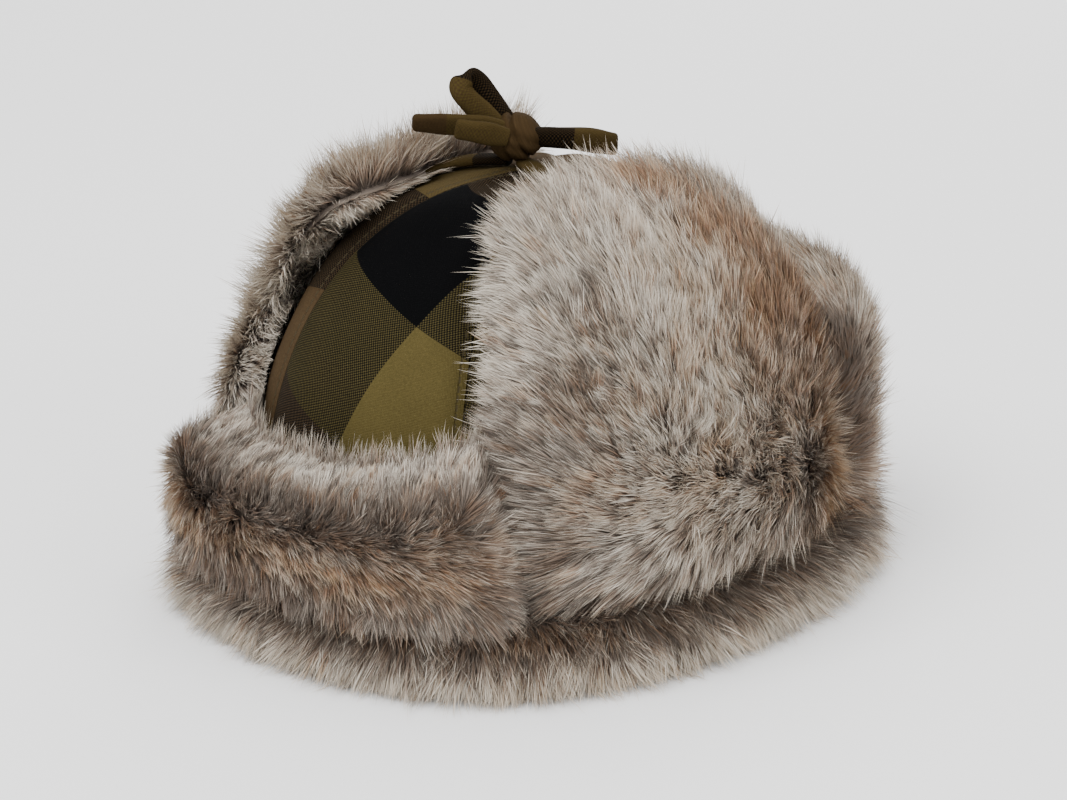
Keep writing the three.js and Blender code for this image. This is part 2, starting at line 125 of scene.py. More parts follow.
class CrownSettings(bpy.types.PropertyGroup):
    cell: FloatProperty(
        name="Check", description="Width of a square of the check", default=0.05, unit="LENGTH"
    )
    thread: FloatProperty(
        name="Thread", description="Distance between threads", default=0.00062, unit="LENGTH"
    )
    stitch: FloatProperty(
        name="Stitch", description="Length of a stitch beside a seam", default=0.0032, unit="LENGTH"
    )
    dent: FloatProperty(
        name="Dents", description="Depth of the soft dents in the cloth", default=0.0009, unit="LENGTH"
    )
    olive: FloatVectorProperty(
        name="Olive", description="Olive yarn", default=(0.062, 0.048, 0.0158), subtype="COLOR"
    )
    black: FloatVectorProperty(
        name="Black", description="Black yarn", default=(0.0011, 0.0011, 0.0013), subtype="COLOR"
    )
    brown: FloatVectorProperty(
        name="Brown", description="Brown yarn", default=(0.046, 0.0295, 0.0145), subtype="COLOR"
    )


class FurSettings(bpy.types.PropertyGroup):
    length: FloatProperty(
        name="Length", description="Length of a hair", default=0.0138, unit="LENGTH"
    )
    width: FloatProperty(
        name="Width", description="Width of a hair near its root", default=0.0003, unit="LENGTH"
    )
    tuft: FloatProperty(
        name="Tuft", description="Distance between the tufts", default=0.003, unit="LENGTH"
    )
    undercoat: FloatProperty(
        name="Undercoat", description="Depth of the undercoat below the pile", default=0.007, unit="LENGTH"
    )
    pull: FloatProperty(
        name="Pull", description="How far tips are drawn to their tuft", default=0.32, min=0, max=1
    )
    fine_share: FloatProperty(
        name="Fine hair", description="Share of the mesh that is short fine hair", default=0.45, min=0, max=1
    )
    lift: FloatProperty(
        name="Lift", description="How steeply hair stands, as a share of the comb tables", default=1.35, min=0
    )
    near_count: IntProperty(
        name="Left flap", description="Left ear flap's hair, in threes of triangles", default=62000
    )
    far_count: IntProperty(
        name="Right flap", description="Right ear flap's hair, in threes of triangles", default=44000
    )
    visor_count: IntProperty(
        name="Visor", description="Visor's hair, in threes of triangles", default=50000
    )
    neck_count: IntProperty(
        name="Neck flap", description="Neck flap's hair, in threes of triangles", default=46000
    )
    roll_count: IntProperty(
        name="Roll", description="Roll's hair, in threes of triangles", default=60000
    )
    root: FloatVectorProperty(
        name="Root", description="Underfur near the skin", default=(0.11, 0.088, 0.072), subtype="COLOR"
    )
    grey: FloatVectorProperty(
        name="Grey", description="Middle of a grey hair", default=(0.29, 0.236, 0.19), subtype="COLOR"
    )
    rust: FloatVectorProperty(
        name="Rust", description="Middle of a rust hair", default=(0.3, 0.16, 0.085), subtype="COLOR"
    )
    pale: FloatVectorProperty(
        name="Pale tip", description="Tip of a grey hair", default=(0.59, 0.535, 0.45), subtype="COLOR"
    )
    tan: FloatVectorProperty(
        name="Tan tip", description="Tip of a rust hair", default=(0.43, 0.3, 0.18), subtype="COLOR"
    )


class StudioSettings(bpy.types.PropertyGroup):
    azimuth: FloatProperty(
        name="Azimuth",
        description="Turn of the camera from the front",
        default=math.radians(42),
        unit="ROTATION",
    )
    elevation: FloatProperty(
        name="Elevation", description="Camera above the horizon", default=math.radians(20), unit="ROTATION"
    )
    distance: FloatProperty(
        name="Distance", description="From the hat to the camera", default=1.45, unit="LENGTH"
    )
    aim: FloatProperty(name="Aim", description="Height the camera looks at", default=0.062, unit="LENGTH")
    lens: FloatProperty(name="Lens", description="Focal length in millimetres", default=137.0)
    floor: FloatVectorProperty(name="Floor", description="Floor", default=(0.94, 0.94, 0.94), subtype="COLOR")
    key: FloatProperty(name="Key", description="Power of the large light", default=30.0, unit="POWER")
    fill: FloatProperty(name="Fill", description="Power of the side light", default=12.0, unit="POWER")
    sky: FloatProperty(name="Sky", description="Strength of the light all round", default=1.2)


class HatSettings(bpy.types.PropertyGroup):
    crown: PointerProperty(type=CrownSettings, name="Crown", description="Crown's cloth")
    fur: PointerProperty(type=FurSettings, name="Fur", description="Fur")
    studio: PointerProperty(type=StudioSettings, name="Studio", description="Light and camera")


# Tables of the frame's shapes. Shares are of the sizes above.


def named(columns, *rows):
    """Rows of a table, with each number under the name of its column."""
    return [dict(zip(columns.split(), row, strict=True)) for row in rows]


VISOR_TOPS = named(
    "at height",
    (0.0, 0.83),
    (0.2, 0.756),
    (0.5, 0.793),
    (0.8, 0.89),
    (1.0, 1.0),
)
NECK_TOPS = named(
    "at height",
    (0.0, 0.97),
    (0.15, 1.0),
    (0.85, 1.0),
    (1.0, 0.97),
)
LEFT_EAR = named(
    "at front back depth curve",
    (0.0, 0.812, 0.58, 0.96, 1.0),
    (0.3, 0.812, 0.561, 1.0, 0.85),
    (0.55, 0.745, 0.551, 0.85, 0.6),
    (0.8, 0.629, 0.532, 0.54, 0.45),
    (1.0, 0.493, 0.464, 0.38, 0.4),
)
RIGHT_EAR = named(
    "at front back depth curve",
    (0.0, 0.793, 0.58, 0.92, 1.0),
    (0.3, 0.716, 0.561, 0.73, 0.95),
    (0.5, 0.6, 0.551, 0.54, 0.85),
    (0.75, 0.6, 0.532, 0.54, 0.5),
    (1.0, 0.561, 0.464, 0.46, 0.2),
)

# How hair lies at shares of a flap's height: out of it, up it, along it, how long it is, and what its place
# adds to how warm and how light it is.
VISOR_COMB = named(
    "at out rise lean length warm light",
    (0.0, 0.6, -1.0, 0.1, 0.9, 0.0, -0.1),
    (0.2, 0.45, -0.8, 0.55, 0.85, 0.0, -0.2),
    (0.38, 0.42, -0.45, 0.95, 0.85, 0.3, 0.12),
    (0.52, 0.42, -0.1, 1.0, 0.85, 0.3, 0.05),
    (0.66, 0.42, 0.35, 0.8, 0.8, 0.0, -0.2),
    (0.8, 0.4, 0.8, 0.3, 0.75, 0.0, -0.25),
    (0.9, 0.38, 1.0, 0.0, 0.65, -0.1, 0.1),
    (1.0, 0.38, 1.0, 0.0, 0.5, -0.2, 0.4),
)
NECK_COMB = named(
    "at out rise lean length warm light",
    (0.0, 0.6, -1.0, 0.3, 1.2, 0.0, -0.2),
    (0.06, 0.45, -0.8, 0.8, 1.1, 0.1, -0.15),
    (0.14, 0.38, -0.1, 1.0, 1.05, 0.2, -0.1),
    (0.25, 0.38, 0.6, 0.6, 1.0, 0.1, 0.0),
    (0.5, 0.4, 0.95, 0.2, 1.0, 0.0, 0.0),
    (1.0, 0.45, 1.0, 0.1, 1.0, 0.0, 0.15),
)
LEFT_COMB = named(
    "at out rise lean length warm light",
    (0.0, 0.5, -0.9, -0.7, 1.25, 0.1, -0.2),
    (0.05, 0.42, -0.5, -0.95, 1.15, 0.0, -0.1),
    (0.1, 0.36, 0.0, -1.0, 1.1, 0.0, -0.05),
    (0.17, 0.36, 0.5, -0.8, 1.05, 0.0, 0.0),
    (0.28, 0.36, 0.85, -0.5, 1.0, 0.0, 0.0),
    (0.45, 0.38, 1.0, -0.2, 1.0, 0.0, 0.0),
    (0.7, 0.42, 1.0, -0.05, 1.05, 0.0, 0.0),
    (0.88, 0.5, 1.0, 0.0, 1.2, 0.0, 0.0),
    (1.0, 0.65, 0.8, 0.0, 1.15, 0.0, 0.1),
)
RIGHT_COMB = named(
    "at out rise lean length warm light",
    (0.0, 0.5, -1.0, -0.2, 1.1, 0.0, 0.0),
    (0.15, 0.42, -0.4, -0.8, 1.15, 0.0, 0.0),
    (0.3, 0.45, 0.4, -0.7, 1.2, 0.0, 0.05),
    (0.7, 0.65, 0.75, -0.3, 1.45, 0.0, 0.05),
    (1.0, 0.8, 0.4, -0.1, 1.5, 0.0, 0.0),
)

# Patches of colour: place as shares across and up a flap, size as a share, and what they add to how warm
# and how light the hair is.
VISOR_PATCHES = named(
    "across along size warm light",
    # Painted light: this first row lightens the visor's left end against the shade of its parted hair.
    (0.0, 0.5, 0.22, -0.1, 0.8),
    (0.2, 0.4, 0.1, 0.35, 0.1),
    (0.5, 0.45, 0.1, 0.2, 0.15),
    (0.68, 0.36, 0.1, 0.35, 0.05),
    (0.3, 0.66, 0.08, 0.0, -0.2),
    (0.6, 0.7, 0.1, 0.0, -0.25),
    (0.45, 0.15, 0.12, 0.1, -0.2),
    (1.0, 0.35, 0.14, 0.0, -0.35),
)
LEFT_PATCHES = named(
    "across along size warm light",
    (0.0, 0.75, 0.22, -0.3, 0.15),
    (0.18, 0.6, 0.08, -0.1, -0.35),
    (0.12, 0.42, 0.06, 0.0, -0.35),
    (0.42, 0.55, 0.2, 0.15, 0.35),
    (0.6, 0.85, 0.09, 1.0, -0.35),
    (0.68, 0.68, 0.13, 0.7, -0.3),
    (0.85, 0.45, 0.22, 0.75, -0.35),
    (0.62, 0.42, 0.12, 0.5, -0.25),
    (0.4, 0.2, 0.16, 0.1, 0.3),
    (0.04, 0.3, 0.12, 0.0, -0.4),
    (0.75, 0.12, 0.07, 0.1, -0.25),
    (0.92, 0.08, 0.09, 0.5, 0.3),
    (1.0, 0.7, 0.1, -0.5, 0.4),
    (0.02, 0.06, 0.14, 0.0, -0.35),
)
# Painted shade: a dark band down the neck flap's edge next to the left ear flap, where the gap between them
# lies in shade.
NECK_GAP_SHADE = named(
    "across along size warm light", *((0.01, step / 25, 0.032, 0.1, -0.8) for step in range(6, 24))
)
NECK_PATCHES = NECK_GAP_SHADE + named(
    "across along size warm light",
    (0.1, 0.85, 0.06, 0.0, 0.3),
    (0.1, 0.6, 0.06, 0.0, 0.3),
    (0.11, 0.35, 0.06, 0.0, 0.3),
    (0.5, 0.4, 0.2, 0.35, -0.1),
    (0.75, 0.7, 0.15, 0.2, 0.1),
)
RIGHT_PATCHES = named(
    "across along size warm light",
    # Painted light: this first row lightens the right flap's front edge against the shade it sits in.
    (0.0, 0.5, 0.35, -0.15, 0.3),
    (0.2, 0.9, 0.15, 0.25, -0.1),
    (0.6, 0.5, 0.2, 0.3, -0.15),
)
# Its light column is painted light: it lightens the hair that curls round onto a flap's back, which lies in
# shade.
BACK_COMB = named(
    "at out rise lean length warm light",
    (0.0, 0.25, 0.4, 0.0, 1.0, -0.1, 0.3),
    (0.7, 0.25, 0.6, 0.0, 1.1, -0.1, 0.3),
    (1.0, 0.3, 0.9, 0.0, 0.9, -0.1, 0.1),
)
ROLL_PATCHES = named(
    "across along size warm light",
    (0.12, 0.2, 0.08, 0.3, 0.0),
    (0.6, 0.2, 0.1, 0.3, 0.1),
    (0.9, 0.2, 0.06, 0.35, 0.0),
)

# Near a flap's edges: over what width hair fans out, how far at its front and back, how much less it leans
# towards the back, how many tufts are dark, how much of the hair is on the back, and how wide the
# rounding is.
VISOR_FANS, NECK_FANS, LEFT_FANS, RIGHT_FANS = named(
    "width front back turn ticks share round round_back top",
    (0.2, 1.2, 0.1, 0.0, 0.15, 0.1, 0.06, 0.08, 0.2),
    (0.1, 0.1, 0.5, 0.0, 0.09, 0.1, 0.05, 0.05, 0.12),
    (0.34, 1.1, -0.1, 0.1, 0.1, 0.08, 0.16, 0.34, 0.2),
    (0.25, 1.0, 0.3, 0.6, 0.05, 0.35, 0.13, 0.16, 0.2),
)
BACK_FANS, ROLL_FANS = named(
    "width front back turn ticks",
    (0.3, 0.9, 0.9, 0.0, 0.0),
    (0.01, 0.0, 0.0, 0.0, 0.06),
)


# Shapes shared with the frame


def table(rows, share, name):
    """The value of a table's column at a share, on straight lines between its rows."""
    return np.interp(share, [row["at"] for row in rows], [row[name] for row in rows])


def bent(value, fullness):
    """A cosine or sine turned into a superellipse's: its size to the power 2 / fullness, its sign kept."""
    return np.sign(value) * np.abs(value) ** (2 / fullness)


def head_oval(angle, spread, height):
    """A superellipse seen from above, `spread` outside the crown; angle 0 is the front, a quarter is +X."""
    x = (HALF_WIDTH + spread) * bent(np.sin(angle), PLAN_FULLNESS)
    y = -(HALF_LENGTH + spread) * bent(np.cos(angle), PLAN_FULLNESS)
    return np.stack(np.broadcast_arrays(x, y, height), axis=-1)


def dome(angle, rise, spread):
    """The crown, `spread` outside it: a superellipsoid whose rise goes from 0 at its foot to 1 on top."""
    turn = rise * math.pi / 2
    share = bent(np.cos(turn), CROWN_FULLNESS) * (1 + spread / ((HALF_LENGTH + HALF_WIDTH) / 2))
    x = HALF_WIDTH * share * bent(np.sin(angle), PLAN_FULLNESS)
    y = -HALF_LENGTH * share * bent(np.cos(angle), PLAN_FULLNESS)
    z = CROWN_FOOT + (CROWN_TOP - CROWN_FOOT + spread) * bent(np.sin(turn), CROWN_FULLNESS)
    return np.stack(np.broadcast_arrays(x, y, z), axis=-1)


def plan_measure(x, y):
    """The plan's superellipse: the sizes of x / width and y / length to the power of its fullness, added."""
    return np.abs(x / HALF_WIDTH) ** PLAN_FULLNESS + np.abs(y / HALF_LENGTH) ** PLAN_FULLNESS


def crown_measure(points):
    """How far out points lie: 1 on the crown, less inside it, by the two superellipses' equations."""
    plan = plan_measure(points[..., 0], points[..., 1])
    height = np.clip((points[..., 2] - CROWN_FOOT) / (CROWN_TOP - CROWN_FOOT), 0, None)
    return (plan ** (CROWN_FULLNESS / PLAN_FULLNESS) + height**CROWN_FULLNESS) ** (1 / CROWN_FULLNESS)


def crown_height(x, y):
    """Height of the crown above a point of the plan, from the same equations."""
    share = plan_measure(x, y) ** (CROWN_FULLNESS / PLAN_FULLNESS)
    return CROWN_FOOT + (CROWN_TOP - CROWN_FOOT) * (1 - share) ** (1 / CROWN_FULLNESS)


def pillow(distance, width, least):
    """From `least` at an edge to 1 inside it, along a quarter of a circle."""
    share = np.clip(distance / width, 0, 1)
    return least + (1 - least) * np.sqrt(1 - (1 - share) ** 2)


def from_sides(across):
    """Share from a place to the nearer of the two sides."""
    return 0.5 - np.abs(across - 0.5)


def unit(vectors):
    """Vectors divided by their lengths."""
    return vectors / np.maximum(np.linalg.norm(vectors, axis=-1, keepdims=True), 1e-9)


def wander(where, pitch, seed):
    """A smooth value from about -1 to 1: the mean of six sine waves of random heading and phase."""
    rng = np.random.default_rng(seed)
    heading = rng.random(WAVE_COUNT) * 2 * math.pi
    phase = rng.random(WAVE_COUNT) * 2 * math.pi
    length = pitch * (0.6 + 0.9 * rng.random(WAVE_COUNT))
    run = where[..., 0:1] * np.cos(heading) + where[..., 1:2] * np.sin(heading)
    return 1.7 * np.sin(2 * math.pi * run / length + phase).mean(axis=-1)


# Meshes


def add_mesh(name, points, faces, maps, material, smooth=True):
    """An object at the origin from points in millimetres, arrays of faces and named UV maps of its points."""
    mesh = bpy.data.meshes.new(name)
    corners = np.concatenate([face.ravel() for face in faces]).astype(np.int32)
    sizes = np.concatenate([np.full(len(face), face.shape[1]) for face in faces])
    starts = np.concatenate([[0], np.cumsum(sizes)[:-1]]).astype(np.int32)
    mesh.vertices.add(len(points))
    mesh.vertices.foreach_set("co", (points * MM + AXIS).astype(np.float32).ravel())
    mesh.loops.add(len(corners))
    mesh.loops.foreach_set("vertex_index", corners)
    mesh.polygons.add(len(starts))
    mesh.polygons.foreach_set("loop_start", starts)
    for title, values in maps.items():
        layer = mesh.uv_layers.new(name=title)
        layer.data.foreach_set("uv", values[corners].astype(np.float32).ravel())
    mesh.update(calc_edges=True)
    mesh.polygons.foreach_set("use_smooth", np.full(len(starts), smooth))
    mesh.materials.append(material)
    piece = bpy.data.objects.new(name, mesh)
    bpy.context.scene.collection.objects.link(piece)
    return piece


def dress(piece, slot, *nodes):
    """The piece rides on the hat's only body and stands for its CAD nodes."""
    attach(piece, "root")
    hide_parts(*nodes)
    return piece


def grid_faces(columns, rows, first=0, turned=False):
    """Quads of a grid whose points are numbered row after row within each column."""
    i, j = np.meshgrid(np.arange(columns), np.arange(rows), indexing="ij")
    low = first + i * (rows + 1) + j
    quads = np.stack([low, low + rows + 1, low + rows + 2, low + 1], axis=-1).reshape(-1, 4)
    return quads[:, ::-1] if turned else quads


def rim_faces(columns, rows, turned=False):
    """Quads that close the four edges between an outer grid and the inner grid that follows it."""
    count = (columns + 1) * (rows + 1)
    i = np.arange(columns)
    j = np.arange(rows)
    foot = i * (rows + 1)
    top = foot + rows
    side = columns * (rows + 1) + j
    edges = (
        (foot + rows + 1, foot),
        (top, top + rows + 1),
        (j, j + 1),
        (side + 1, side),
    )
    quads = np.concatenate([np.stack([a, b, b + count, a + count], axis=-1) for a, b in edges])
    return quads[:, ::-1] if turned else quads


def shares(columns, rows):
    """Shares across and along at a grid's points, column after column."""
    across, along = np.meshgrid(np.linspace(0, 1, columns + 1), np.linspace(0, 1, rows + 1), indexing="ij")
    return across.ravel(), along.ravel()


# Materials


class Value:
    """A node's output. Arithmetic on it adds Math nodes, or Vector Math nodes for colours and vectors."""

    def __init__(self, graph, socket):
        self.graph = graph
        self.socket = socket

    def __add__(self, other):
        return self.graph.math("ADD", self, other)

    def __sub__(self, other):
        return self.graph.math("SUBTRACT", self, other)

    def __mul__(self, other):
        return self.graph.math("MULTIPLY", self, other)

    def __truediv__(self, other):
        return self.graph.math("DIVIDE", self, other)

    def __radd__(self, other):
        return self.graph.math("ADD", other, self)

    def __rsub__(self, other):
        return self.graph.math("SUBTRACT", other, self)

    def __rmul__(self, other):
        return self.graph.math("MULTIPLY", other, self)


class Graph:
    """A new material's node tree."""

    def __init__(self, name):
        self.material = bpy.data.materials.new(name)
        self.material.use_nodes = True
        self.tree = self.material.node_tree
        self.tree.nodes.clear()

    def feed(self, socket, value):
        if isinstance(value, Value):
            self.tree.links.new(value.socket, socket)
        elif isinstance(value, tuple) and len(value) == 3 and socket.type == "RGBA":
            socket.default_value = (*value, 1.0)
        else:
            socket.default_value = value

    def make(self, kind, output=0, settings=None, inputs=None):
        """Any node, from its type, its settings and what goes into its sockets. Gives one of its outputs."""
        node = self.tree.nodes.new(kind)
        for name, value in (settings or {}).items():
            setattr(node, name, value)
        for name, value in (inputs or {}).items():
            self.feed(node.inputs[name], value)
        return Value(self, node.outputs[output])

    def math(self, operation, *terms):
        wide = any(isinstance(t, tuple) or (isinstance(t, Value) and t.socket.type != "VALUE") for t in terms)
        kind = "ShaderNodeVectorMath" if wide else "ShaderNodeMath"
        if wide:
            terms = [(t, t, t) if isinstance(t, (int, float)) else t for t in terms]
        return self.make(kind, 0, {"operation": operation}, dict(enumerate(terms)))

    def mix(self, factor, first, second):
        settings = {"data_type": "RGBA"}
        return self.make("ShaderNodeMix", 2, settings, {0: factor, 6: first, 7: second})

    def smooth(self, value, low, high):
        """0 below `low`, 1 above `high`, with a smooth step between them."""
        return self.make(
            "ShaderNodeMapRange", 0, {"interpolation_type": "SMOOTHSTEP"}, {0: value, 1: low, 2: high}
        )

    def floor(self, value):
        return self.math("FLOOR", value)

    def axes(self, vector):
        """The three numbers of a vector."""
        split = self.tree.nodes.new("ShaderNodeSeparateXYZ")
        self.feed(split.inputs[0], vector)
        return [Value(self, output) for output in split.outputs]

    def vector(self, x, y, z):
        return self.make("ShaderNodeCombineXYZ", 0, None, {0: x, 1: y, 2: z})

    def noise(self, vector, scale, detail=2.0):
        return self.make("ShaderNodeTexNoise", 0, None, {"Vector": vector, "Scale": scale, "Detail": detail})

    def bump(self, height, distance, strength=1.0):
        return self.make(
            "ShaderNodeBump", 0, None, {"Height": height, "Distance": distance, "Strength": strength}
        )

    def surface(self, **sockets):
        """The finished shader and the material's output."""
        inputs = {name.replace("_", " ").title(): value for name, value in sockets.items()}
        if "Specular" in inputs:
            inputs["Specular IOR Level"] = inputs.pop("Specular")
        shader = self.make("ShaderNodeBsdfPrincipled", 0, None, inputs)
        output = self.tree.nodes.new("ShaderNodeOutputMaterial")
        self.feed(output.inputs["Surface"], shader)
        return self.material


def fur_material(name, fur, depth=1.0):
    """Hair from dark root to pale tip. The map's first axis picks the hair's tint, its second the place.

    Depth below 1 darkens all but the tips."""
    graph = Graph(name)
    place = graph.make("ShaderNodeUVMap", 0, {"uv_map": "OFBake"})
    column, along, _ = graph.axes(place)
    cell = graph.floor(column * CELL_COUNT)
    row = graph.floor(cell / LIGHT_STEPS)
    warm = row / (WARM_STEPS - 1)
    light = (cell - row * LIGHT_STEPS) / (LIGHT_STEPS - 1)
    level = (0.42 + light * 0.85) * depth
    middle = graph.mix(warm, tuple(fur.grey), tuple(fur.rust)) * graph.vector(level, level, level)
    dim = 0.18 + 0.82 * graph.smooth(light, 0.0, 0.36)
    tip = graph.mix(warm, tuple(fur.pale), tuple(fur.tan)) * graph.vector(dim, dim, dim)
    rising = graph.mix(graph.smooth(along, 0.08, 0.5), tuple(fur.root), middle)
    start = 0.8 - light * 0.5
    colour = graph.mix(graph.smooth(along, start, start + 0.35), rising, tip)
    return graph.surface(base_color=colour, roughness=0.55, specular=0.35)


def cloth_material(name, crown, tint, seams):
    """Woven check: each square takes its colour from a warp and a weft stripe, thread over thread, with a
    line of stitches beside the seams where the piece has them.

    Yarns mix as cube roots, because the darker one shows more."""
    graph = Graph(name)
    place = graph.make("ShaderNodeUVMap", 0, {"uv_map": "cloth"})
    warp, weft, _ = graph.axes(place)
    colours = [tuple(part ** (1 / 3) for part in yarn) for yarn in (crown.olive, crown.brown, crown.black)]

    def stripe(position, order):
        step = graph.math("FLOORED_MODULO", graph.floor(position), 3.0)
        first = graph.mix(graph.math("GREATER_THAN", step, 0.5), colours[order[0]], colours[order[1]])
        return graph.mix(graph.math("GREATER_THAN", step, 1.5), first, colours[order[2]])

    per_cell = crown.cell / crown.thread
    over = graph.math("SINE", warp * (per_cell * math.pi)) * graph.math("SINE", weft * (per_cell * math.pi))
    which = graph.smooth(over, -1.1, 1.1)
    fibres = graph.noise(place, 2.2 * per_cell, 3.0)
    blend = graph.math("MULTIPLY_ADD", fibres - 0.5, 1.5, which)
    root_yarn = graph.mix(blend, stripe(warp, (0, 1, 2)), stripe(weft, (0, 2, 1)))
    fuzz = 0.04 * graph.smooth(graph.noise(place, 1.3 * per_cell, 4.0), 0.52, 0.75)
    fuzzy = root_yarn + graph.vector(fuzz, fuzz, fuzz)
    yarn = fuzzy * fuzzy * fuzzy
    shade = 0.72 + 0.56 * graph.noise(place, 0.6 * per_cell, 2.0)
    patch = 0.85 + 0.3 * graph.noise(place, 3.0, 3.0)
    level = shade * patch
    dye = graph.vector(level * tint[0], level * tint[1], level * tint[2])
    colour = yarn * dye
    height = over * 0.1 + graph.noise(place, 1.2 * per_cell, 3.0) * 0.2
    if seams:
        edge = graph.make("ShaderNodeAttribute", 1, {"attribute_name": "seam"})
        from_seam, run, _ = graph.axes(edge)
        groove = 1 - graph.smooth(graph.math("ABSOLUTE", from_seam - 2.4), 0.15, 0.6)
        dash = graph.math("GREATER_THAN", graph.math("FRACT", run * (MM / crown.stitch)), 0.28)
        thread = groove * dash
        colour = graph.mix(thread * 0.75, colour, (0.04, 0.032, 0.018))
        height = height - groove * 0.8 + thread * 0.5
    bump = graph.bump(height, 0.0006, 0.8)
    return graph.surface(base_color=colour, roughness=0.88, specular=0.04, normal=bump)


def floor_material(studio):
    """A plain pale paper with the faintest grain."""
    graph = Graph("floor_paper")
    place = graph.make("ShaderNodeTexCoord", "Object")
    grain = graph.noise(place, 40.0, 2.0)
    colour = graph.mix(grain * 0.06, tuple(studio.floor), (0.88, 0.88, 0.88))
    return graph.surface(base_color=colour, roughness=0.9, specular=0.1)


# Fur


class Flap:
    """A fur flap: `skin` gives its surface at shares across and up it, a thickness out from its back."""

    def __init__(self, skin, depth, comb, patches, span, fans, side=1, seed=1):
        self.skin = skin
        self.depth = depth
        self.comb = comb
        self.patches = patches
        self.span = span
        self.fans = fans
        self.side = side
        self.seed = seed

    def under(self, across, along, sunk):
        """The undercoat: `sunk` below the pile, and rounded down to the back at all four edges."""
        ends = pillow(across, self.fans["round"], 0) * pillow(1 - across, self.fans["round_back"], 0)
        round_off = ends * pillow(1 - along, self.fans["top"], 0) * pillow(along, 0.08, 0.2)
        thickness = np.clip(self.depth(across, along) - sunk, 2, None) * round_off + 1.5
        return self.skin(across, along, thickness)


class BackEdge(Flap):
    """The back of a flap near its front, back and top edges, whose hair curls round them."""

    def __init__(self, flap):
        super().__init__(
            flap.skin, flap.depth, BACK_COMB, flap.patches, flap.span, BACK_FANS, -flap.side, flap.seed + 7
        )

    def under(self, across, along, sunk):
        return self.skin(across, along, np.zeros_like(across))

    def dense(self, across, along):
        """Only within a share of 0.2 of the edges."""
        return np.where((from_sides(across) < 0.2) | (along > 0.8), 1.0, 0.0)


def frame_on(surface, across, along, side):
    """Point, directions across and up a surface, and its normal, from small steps on it."""
    step = 0.012
    point = surface(across, along)
    right = surface(np.clip(across + step, 0, 1), along) - surface(np.clip(across - step, 0, 1), along)
    rising = surface(across, np.clip(along + step, 0, 1)) - surface(across, np.clip(along - step, 0, 1))
    normal = unit(np.cross(unit(right), unit(rising))) * side
    return point, unit(right), unit(rising), normal


def draw_roots(surface, count, rng, weight=None):
    """Shares of points spread by area: a random cell of a fine grid by its size, then a place in it."""
    columns, rows = 150, 90
    across, along = shares(columns, rows)
    grid = surface(across, along).reshape(columns + 1, rows + 1, 3)
    right = grid[1:, :-1] - grid[:-1, :-1]
    rising = grid[:-1, 1:] - grid[:-1, :-1]
    area = np.linalg.norm(np.cross(right, rising), axis=-1)
    if weight is not None:
        middle_across = (np.arange(columns)[:, None] + 0.5) / columns
        middle_along = (np.arange(rows)[None, :] + 0.5) / rows
        area = area * weight(middle_across, middle_along)
    cells = rng.choice(area.size, count, p=(area / area.sum()).ravel())
    place_across = (cells // rows + rng.random(count)) / columns
    place_along = (cells % rows + rng.random(count)) / rows
    return place_across, place_along


def nearest_tuft(where, size, rng):
    """Centre and number of the nearest tuft, among jittered centres of a square grid's cells."""
    count = np.ceil(where.max(axis=0) / size).astype(int) + 3
    jitter = rng.random((count[0], count[1], 2))
    cell = np.floor(where / size).astype(int)
    best = np.full(len(where), np.inf)
    centre = np.zeros_like(where)
    number = np.zeros(len(where), dtype=int)
    for di in (-1, 0, 1):
        for dj in (-1, 0, 1):
            i = np.clip(cell[:, 0] + di + 1, 0, count[0] - 1)
            j = np.clip(cell[:, 1] + dj + 1, 0, count[1] - 1)
            spot = (np.stack([i - 1, j - 1], axis=-1) + jitter[i, j]) * size
            distance = np.linalg.norm(where - spot, axis=-1)
            closer = distance < best
            best = np.where(closer, distance, best)
            centre = np.where(closer[:, None], spot, centre)
            number = np.where(closer, i * count[1] + j, number)
    return centre, number, count[0] * count[1]


def hair_line(root, first, last, length, stations):
    """P(t) = root + length * (first * t + (last - first) * t * t / 2): a hair that bends evenly."""
    t = stations[None, :, None]
    way = first[:, None, :] * t + (last - first)[:, None, :] * t**2 / 2
    return root[:, None, :] + length[:, None, None] * way


def keep_clear(points):
    """Moves points that are inside the crown out to it, and points under the floor up to it."""
    centre = np.array([0.0, 0.0, CROWN_FOOT])
    measure = crown_measure(points)
    inside = (measure < CROWN_CLEARANCE) & (points[..., 2] > CROWN_FOOT)
    grow = np.where(inside, CROWN_CLEARANCE / np.maximum(measure, 0.3), 1.0)
    moved = centre + (points - centre) * grow[..., None]
    moved[..., 2] = np.maximum(moved[..., 2], FLOOR_CLEARANCE)
    return moved


